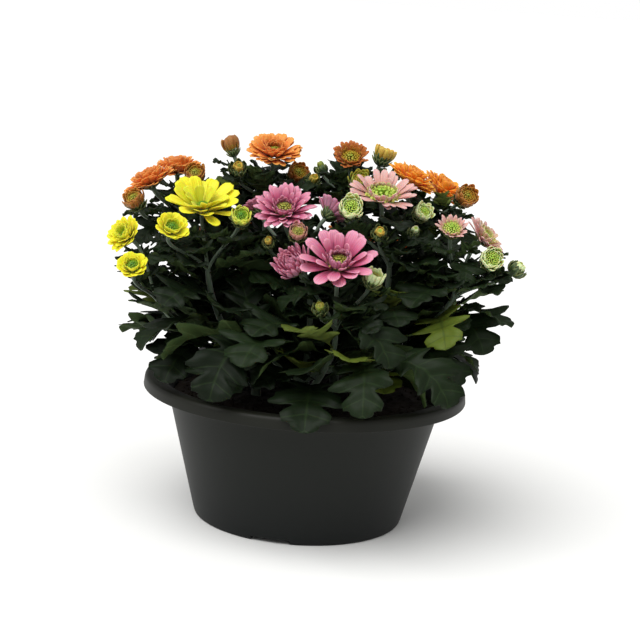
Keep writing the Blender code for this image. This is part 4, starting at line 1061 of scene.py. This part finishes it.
# Petals, soft and matt with a faint satin along the grooves. Each colour: at the root, in the middle, at the tip,
# for the young inner florets, partly their own colour and partly painted shade deep in the head, and behind
PETALS = {
    "pink": ("#7a1c40", "#c4587f", "#e59db3", "#8c3a55", "#d08aa4"),
    "yellow": ("#c9c81a", "#f4e400", "#faee1e", "#c4d024", "#eee23e"),
    "apricot": ("#a84c08", "#ea7f18", "#f6a648", "#c4661a", "#e28e3c"),
    "bronze": ("#b08a1c", "#984406", "#b65e0c", "#a87c14", "#a05c1c"),
    "orange": ("#c85c04", "#f28a06", "#ffb01e", "#dd7a06", "#ec9622"),
    "pale": ("#b9a070", "#d2968f", "#e2b2b0", "#b8d050", "#d8aaa8"),
    "lime": ("#93b834", "#dbe27e", "#f0f2c0", "#8fbb2a", "#dfe6ae"),
    "greenish yellow": ("#a5bf1e", "#d5dc34", "#e9ea5c", "#9ab81e", "#d3da4e"),
    "rosewood": ("#9a9040", "#a05a55", "#c08a80", "#c0a030", "#b0746a"),
    "tan": ("#b08e1c", "#a05c0e", "#bf7e1e", "#b09418", "#9a5e1c"),
    "olive": ("#7f9418", "#9aa51e", "#b0aa2e", "#98a81c", "#8a9430"),
    "amber": ("#b8901a", "#d2a326", "#e3bb3c", "#c98f1a", "#cfae44"),
}
petal_finish = {}
for name, (at_root, at_middle, at_tip, young_and_painted_light, behind) in PETALS.items():
    pair = []
    for back in (False, True):
        made, tree, shader = start_material(name + " ray floret" + (", back" if back else ""), Roughness=0.55,
                                            Subsurface_Weight=0.25, Subsurface_Scale=1.5 * MM, Sheen_Weight=0.1)
        coords = add(tree, "ShaderNodeTexCoord")
        place = add(tree, "ShaderNodeSeparateXYZ", coords.outputs["UV"])
        mottle = add(tree, "ShaderNodeTexNoise", coords.outputs["Object"], None, 220.0, 4.0, 0.6)
        along_it = add(tree, "ShaderNodeMath", mottle.outputs["Fac"], 0.3, place.outputs["X"],
                       operation="MULTIPLY_ADD")
        along_it = add(tree, "ShaderNodeMath", along_it, 0.15, operation="SUBTRACT")
        stops = ((0.12, at_root), (0.55, at_middle), (1.0, at_tip))
        if back:
            stops = ((0.0, at_root), (0.4, behind), (1.0, behind))
        ramp = add(tree, "ShaderNodeValToRGB", along_it, stops=stops)
        row = add(tree, "ShaderNodeAttribute", attribute_name="row")
        # the inner florets take the young colour, which also paints the shade deep in the head
        inner = add(tree, "ShaderNodeMapRange", row.outputs["Fac"], 0.45, 1.0, 0.0, 0.8)
        tone = add(tree, "ShaderNodeMix", inner, ramp.outputs["Color"], linear(young_and_painted_light), data_type="RGBA")
        # five or six grooves run along each floret
        groove = add(tree, "ShaderNodeMath", place.outputs["Y"], 34.0, operation="MULTIPLY")
        groove = add(tree, "ShaderNodeMath", groove, operation="SINE")
        shade = add(tree, "ShaderNodeMapRange", groove, -1.0, 1.0, 0.0, 0.16)
        lined = add(tree, "ShaderNodeMix", shade, tone.outputs[2], linear(at_root), data_type="RGBA")
        tree.links.new(lined.outputs[2], shader.inputs["Base Color"])
        relief = add(tree, "ShaderNodeBump", 0.35, 0.15 * MM, 0.1, groove)
        tree.links.new(relief.outputs[0], shader.inputs["Normal"])
        pair.append(made)
    petal_finish[name] = pair

# How each kind of head is built: tree, count of florets, the shares of them where they stop being fully open and
# where they are fully shut, then outermost and innermost width, length, rise and droop (sizes as shares of the head's
# radius), the eye's share of the radius, and how far the front florets hang
LOOKS = {
    "pink_front": (round_tree, 74, (0.12, 0.42), (0.36, 0.11), (0.92, 0.3), (31, 72), (13, -34), 0.26, 9),
    "pink full": (pointed_tree, 88, (0.2, 0.75), (0.26, 0.11), (0.78, 0.24), (28, 72), (10, -30), 0.26, 8),
    "pink cup": (short_tree, 40, (0.2, 0.9), (0.34, 0.18), (0.85, 0.4), (34, 70), (6, -14), 0.2, 0),
    "pink_side": (pointed_tree, 84, (0.0, 1.0), (0.27, 0.2), (1.1, 0.8), (26, 76), (-62, -44), 0.1, 0),
    "yellow full": (round_tree, 27, (0.44, 0.9), (0.38, 0.3), (0.92, 0.5), (33, 46), (10, 0), 0.16, 0),
    "yellow cup": (round_tree, 36, (0.35, 0.8), (0.42, 0.2), (0.68, 0.28), (38, 72), (4, -20), 0.3, 0),
    "yellow_left": (pointed_tree, 52, (0.2, 0.9), (0.34, 0.24), (0.72, 0.4), (32, 72), (4, -16), 0.2, 0),
    "apricot_top": (short_tree, 92, (0.25, 0.85), (0.27, 0.14), (0.75, 0.28), (27, 76), (10, -20), 0.24, 6),
    "apricot full": (short_tree, 110, (0.05, 1.0), (0.27, 0.2), (0.7, 0.4), (18, 82), (10, -24), 0.12, 4),
    "apricot_half": (round_tree, 44, (0.0, 1.0), (0.42, 0.3), (1.0, 0.62), (42, 78), (-84, -60), 0.1, 0),
    "bronze cup": (short_tree, 56, (0.4, 0.9), (0.25, 0.16), (0.92, 0.32), (42, 72), (2, -20), 0.46, 0),
    "orange full": (short_tree, 110, (0.05, 1.0), (0.29, 0.22), (0.74, 0.42), (18, 82), (6, -24), 0.12, 0),
    "pale full": (round_tree, 76, (0.22, 0.5), (0.22, 0.12), (0.88, 0.22), (27, 66), (11, -30), 0.4, 6),
    "pale_right": (round_tree, 74, (0.3, 0.9), (0.2, 0.12), (0.72, 0.24), (26, 74), (8, -18), 0.3, 0),
    "pale cup": (pointed_tree, 44, (0.3, 0.8), (0.22, 0.12), (0.84, 0.24), (44, 70), (4, -10), 0.42, 0),
}
PETAL_SKIN = 0.3 * MM
PETAL_TROUGH = (0.22, 0.5)
# How deep the florets start in the calyx, and how far they stray in degrees
SEATS = {"full": 2.8 * MM, "cup": 0.8 * MM}
STRAYS = {"full": 12, "cup": 7}
# The core that the florets stand on: its radius as a share of the head's, where they curl in and where not
CURLED_CORE = 0.4
OPEN_CORE = 0.24
CORE_MAX = 4.6 * MM
CORE_HEIGHT = 2.6 * MM
# A head's florets curl in where their droop is below this many degrees
CURLED_FROM = -60


def family_of(head):
    return head.split("_")[0]


def look_of(head):
    """How a head is built: by its own name, or else by its family and form."""
    return LOOKS.get(head) or LOOKS[f"{family_of(head)} {HEADS[head][1]}"]


for seed, (head, facts) in enumerate(HEADS.items()):
    form = facts[1]
    if form not in ("full", "cup"):
        continue
    family = family_of(head)
    radius = head_radius(head)
    tree, count, opening, wide, length, rise, droop, eye, hang = look_of(head)
    core = radius * CURLED_CORE if droop[0] < CURLED_FROM else min(radius * OPEN_CORE, CORE_MAX)
    seat = SEATS[form]
    shape = dict(Root_radius=(core, max(radius * eye * 1.02, 1 * MM)), Root_height=(-seat, CORE_HEIGHT - seat),
                 Rise=rise, Droop=droop, Length=(radius * length[0], radius * length[1]),
                 Width=(radius * wide[0], radius * wide[1]), Trough=PETAL_TROUGH)
    front, back = petal_finish["tan" if head == "apricot_half" else family]
    mesh = grow(tree, floret_values(front, count, seed, opening, hang, STRAYS[form], **shape))
    mesh.transform(head_matrix(head))
    made = add_piece("florets_" + head, mesh, [front, back], ["rays_" + head])
    add_skin(made, PETAL_SKIN)


# The eyes: packed disc florets, tiny five-sided tubes on a dome, green in bud and yellow when they open. They sit
# on the same core as the ray florets and follow on in the same spiral.
eye_tree, given = new_tree("disc florets", Count="Int", Radius="Float", Height="Float", Floret="Float",
                           Material="Material")
points = add(eye_tree, "GeometryNodePoints", given["Count"])
index = add(eye_tree, "GeometryNodeInputIndex")
row = add(eye_tree, "ShaderNodeMath", index, given["Count"], operation="DIVIDE")
row = add(eye_tree, "ShaderNodeMath", row, 0.5, operation="POWER")
turn = add(eye_tree, "ShaderNodeMath", index, GOLDEN_TURN, operation="MULTIPLY")
away = add(eye_tree, "ShaderNodeMath", row, given["Radius"], operation="MULTIPLY")
square = add(eye_tree, "ShaderNodeMath", row, 2.0, operation="POWER")
top = add(eye_tree, "ShaderNodeMath", 1.0, square, operation="SUBTRACT")
top = add(eye_tree, "ShaderNodeMath", top, given["Height"], operation="MULTIPLY")
spot = add(eye_tree, "ShaderNodeCombineXYZ", away, None, top)
spot = add(eye_tree, "ShaderNodeVectorRotate", spot, None, turn, rotation_type="Z_AXIS")
points = add(eye_tree, "GeometryNodeStoreNamedAttribute", points, None, "row", row, data_type="FLOAT")
points = add(eye_tree, "GeometryNodeSetPosition", points, None, spot)
tube = add(eye_tree, "GeometryNodeMeshCone", 5, 1, 1, 1.0, 0.6, 2.4)
outward = add(eye_tree, "ShaderNodeVectorMath", add(eye_tree, "GeometryNodeInputPosition"), (0, 0, 3 * MM),
              operation="ADD")
facing = add(eye_tree, "FunctionNodeAlignRotationToVector", None, None, outward, axis="Z")
size = add(eye_tree, "FunctionNodeRandomValue", 0.8, 1.2, None, 4)
size = add(eye_tree, "ShaderNodeMath", size, given["Floret"], operation="MULTIPLY")
tubes = add(eye_tree, "GeometryNodeInstanceOnPoints", points, None, tube, None, None, facing, size)
real = add(eye_tree, "GeometryNodeRealizeInstances", tubes)
painted = add(eye_tree, "GeometryNodeSetMaterial", real, None, given["Material"])
add(eye_tree, "NodeGroupOutput", painted)

# Colours of the eyes, in the middle where they are still green and at the edge where they open
EYES = {
    "pink": ("#8f9430", "#bdb35c"),
    "yellow": ("#4f8a1c", "#8fb41e"),
    "apricot": ("#8c9422", "#b8982a"),
    "bronze": ("#90941f", "#c2a028"),
    "orange": ("#8a8a20", "#c48a24"),
    "pale": ("#96bb36", "#c8d866"),
}
# A bud's eye: its radius, place and height as shares of the bud's radius
BUD_EYES = {"button": (0.55, 0.5, 0.22), "bud": (0.34, 0.75, 0.1)}
EYE_PLACE = 2.4 * MM
EYE_HEIGHT = 1.6 * MM
EYE_DOME = 0.6
DISC_FLORETS = 60
DISC_FLORET_SHARE = 0.135
eye_finish = {}
for name, (at_middle, at_edge) in EYES.items():
    made, tree, shader = start_material(name + " disc florets", Roughness=0.7, Subsurface_Weight=0.2,
                                        Subsurface_Scale=1 * MM)
    row = add(tree, "ShaderNodeAttribute", attribute_name="row")
    ripe = add(tree, "ShaderNodeValToRGB", row.outputs["Fac"], stops=((0.15, at_middle), (0.75, at_edge)))
    tree.links.new(ripe.outputs["Color"], shader.inputs["Base Color"])
    eye_finish[name] = made

for head, facts in HEADS.items():
    form = facts[1]
    finish = eye_finish[family_of(head)]
    radius = head_radius(head)
    if form in BUD_EYES:
        wide, low, tall = (radius * share for share in BUD_EYES[form])
    else:
        wide = radius * look_of(head)[7]
        low, tall = EYE_PLACE - SEATS[form], min(EYE_HEIGHT, wide * EYE_DOME)
    values = {"Count": DISC_FLORETS, "Radius": wide, "Height": tall, "Floret": wide * DISC_FLORET_SHARE,
              "Material": finish}
    mesh = grow(eye_tree, values)
    mesh.transform(head_matrix(head) @ Matrix.Translation((0, 0, low)))
    stands_for = ["eye_" + head] if form == "full" else []
    add_piece("disc_" + head, mesh, [finish], stands_for)


# The half-open buds: ray florets still curled in over the eye, pale green or yellow before they colour. They
# overlap in the same spiral as in an open head, and the small buds show only a few tips.
BUD_COLOURS = {"pink_button": "rosewood", "pink_bud_right": "lime", "yellow_button": "greenish yellow",
               "apricot_button": "tan", "apricot_small": "tan", "apricot_low": "tan",
               "apricot_back_button": "tan", "bronze_bud": "amber", "bronze_green": "olive",
               "orange_button": "tan", "orange_back_button": "orange", "pink_bud_low": "olive",
               "pink_bud_left": "amber", "apricot_bud": "amber", "apricot_bud_right": "amber",
               "pale_bud_low": "amber", "bronze_tiny": "olive"}
# How they are built: count of florets, their sizes as shares of the bud's radius, and their angles in degrees
BUD_SHAPES = {
    "button": (42, dict(Root_radius=(0.5, 0.6), Root_height=(-0.1, 0.4), Length=(1.3, 0.45), Width=(0.5, 0.28)),
               dict(Rise=(38, 74), Droop=(-66, -44))),
    "bud": (24, dict(Root_radius=(0.55, 0.3), Root_height=(0, 0.3), Length=(1.1, 0.5), Width=(0.5, 0.3)),
            dict(Rise=(66, 80), Droop=(-62, -30))),
}
BUD_TROUGH = (0.4, 0.6)
for seed, (head, facts) in enumerate(HEADS.items()):
    form = facts[1]
    if form not in BUD_SHAPES:
        continue
    radius = head_radius(head)
    front, back = petal_finish[BUD_COLOURS.get(head, "lime")]
    count, shares, angles = BUD_SHAPES[form]
    shape = {name: (radius * outer, radius * inner) for name, (outer, inner) in shares.items()}
    mesh = grow(short_tree, floret_values(front, count, seed, Trough=BUD_TROUGH, **shape, **angles))
    mesh.transform(head_matrix(head))
    stands_for = ["bud_" + head] if form == "button" else []
    made = add_piece("half_open_" + head, mesh, [front, back], stands_for)
    add_skin(made, PETAL_SKIN)


# The calyces and small buds: overlapping green bracts with papery edges. They grow in a spiral from the end of
# each stalk, hold the florets together, and close over those of a small bud.
bract_finish, tree, shader = start_material("green bracts", Roughness=0.55, Subsurface_Weight=0.1,
                                            Subsurface_Scale=1 * MM)
coords = add(tree, "ShaderNodeTexCoord")
place = add(tree, "ShaderNodeSeparateXYZ", coords.outputs["UV"])
aside = add(tree, "ShaderNodeMath", place.outputs["Y"], 0.5, operation="SUBTRACT")
aside = add(tree, "ShaderNodeMath", aside, operation="ABSOLUTE")
shade = add(tree, "ShaderNodeValToRGB", aside, stops=((0.0, "#2b3d1d"), (0.3, "#435728"), (0.5, "#7d8450")))
tree.links.new(shade.outputs["Color"], shader.inputs["Base Color"])
BRACT_SKIN = 0.35 * MM
BRACT_TROUGH = (0.3, 0.3)
BUD_BRACTS = 21
CALYX_BRACTS = 26
for plant in PLANTS:
    joined = bmesh.new()
    for seed, (head, facts) in enumerate(HEADS.items()):
        if SHOOTS[facts[0]][0] != plant:
            continue
        radius = head_radius(head)
        if facts[1] == "bud":
            shape = dict(Root_radius=(radius * 0.35, radius * 0.2), Root_height=(-CALYX_LENGTH, -CALYX_LENGTH),
                         Rise=(10, 40), Droop=(-104, -70), Length=(radius * 1.9, radius * 1.7),
                         Width=(radius * 0.9, radius * 0.7), Trough=BRACT_TROUGH)
            mesh = grow(bract_tree, floret_values(bract_finish, BUD_BRACTS, seed, **shape))
        else:
            wide = min(radius * 0.3, 5 * MM) if facts[1] in ("full", "cup") else radius * 0.62
            shape = dict(Root_radius=(STALK_RADIUS, STALK_RADIUS), Root_height=(-CALYX_LENGTH, -CALYX_LENGTH * 0.8),
                         Rise=(8, 30), Droop=(-62, -40), Length=(wide * 1.6, wide * 1.9),
                         Width=(wide * 0.75, wide * 0.6), Trough=BRACT_TROUGH)
            if facts[1] == "full":
                shape.update(Root_height=(-CALYX_LENGTH, -CALYX_LENGTH), Rise=(8, 16), Droop=(-32, -22),
                             Length=(wide * 1.3, wide * 1.05))
            mesh = grow(bract_tree, floret_values(bract_finish, CALYX_BRACTS, seed, **shape))
        mesh.transform(head_matrix(head))
        joined.from_mesh(mesh)
    mesh = bpy.data.meshes.new("bracts")
    joined.to_mesh(mesh)
    joined.free()
    made = add_piece("bracts_" + plant, mesh, [bract_finish, bract_finish], ["plant_" + plant])
    add_skin(made, BRACT_SKIN)


# A plain pale floor, one broad soft light from the upper left in front with a dim surround, and the camera at the
# photograph's angle
FLOOR_REACH = 60.0
SURROUND_LIGHT = 0.5
SURROUND_SEEN = 1.0
LAMP_STRENGTH = 2.9
LAMP_SPREAD = math.radians(60)
LAMP_AIM = Vector((0.28, 0.36, -0.89))
floor_mesh = bpy.data.meshes.new("floor")
corners = [(-FLOOR_REACH, -FLOOR_REACH, 0), (FLOOR_REACH, -FLOOR_REACH, 0), (FLOOR_REACH, FLOOR_REACH, 0),
           (-FLOOR_REACH, FLOOR_REACH, 0)]
floor_mesh.from_pydata(corners, [], [(0, 1, 2, 3)])
floor = bpy.data.objects.new("floor", floor_mesh)
bpy.context.scene.collection.objects.link(floor)
paper, tree, shader = start_material("matt white floor", Roughness=0.9, Base_Color=linear("#f2f2f0"))
floor_mesh.materials.append(paper)

world = bpy.data.worlds.new("studio")
world.use_nodes = True
surround = world.node_tree.nodes["Background"]
surround.inputs["Color"].default_value = (1, 1, 1, 1)
# dim as a light, but seen as white as the floor, so that no horizon shows from a low angle
seen = add(world.node_tree, "ShaderNodeLightPath")
strength = add(world.node_tree, "ShaderNodeMapRange", seen.outputs["Is Camera Ray"], 0.0, 1.0,
               SURROUND_LIGHT, SURROUND_SEEN)
world.node_tree.links.new(strength.outputs[0], surround.inputs["Strength"])
bpy.context.scene.world = world
bpy.context.scene.view_settings.view_transform = "Standard"
lamp = bpy.data.lights.new("overcast window", "SUN")
lamp.energy = LAMP_STRENGTH
lamp.angle = LAMP_SPREAD
stand = bpy.data.objects.new("overcast window", lamp)
bpy.context.scene.collection.objects.link(stand)
stand.rotation_euler = LAMP_AIM.to_track_quat("-Z", "Y").to_euler()

VIEW_POINT = Vector((6.5 * MM, 0, 124.2 * MM))
VIEW_DOWN = math.radians(11.43)
VIEW_ROLL = math.radians(3.85)
VIEW_DISTANCE = 1.0
VIEW_LENS = 91.1
VIEW_SENSOR = 36
forward = Vector((0, math.cos(VIEW_DOWN), -math.sin(VIEW_DOWN)))
lens = bpy.data.cameras.new("camera")
lens.lens = VIEW_LENS
lens.sensor_width = VIEW_SENSOR
camera = bpy.data.objects.new("camera", lens)
bpy.context.scene.collection.objects.link(camera)
camera.location = VIEW_POINT - forward * VIEW_DISTANCE
camera.rotation_mode = "QUATERNION"
camera.rotation_quaternion = forward.to_track_quat("-Z", "Y") @ Quaternion((0, 0, 1), VIEW_ROLL)
bpy.context.scene.camera = camera
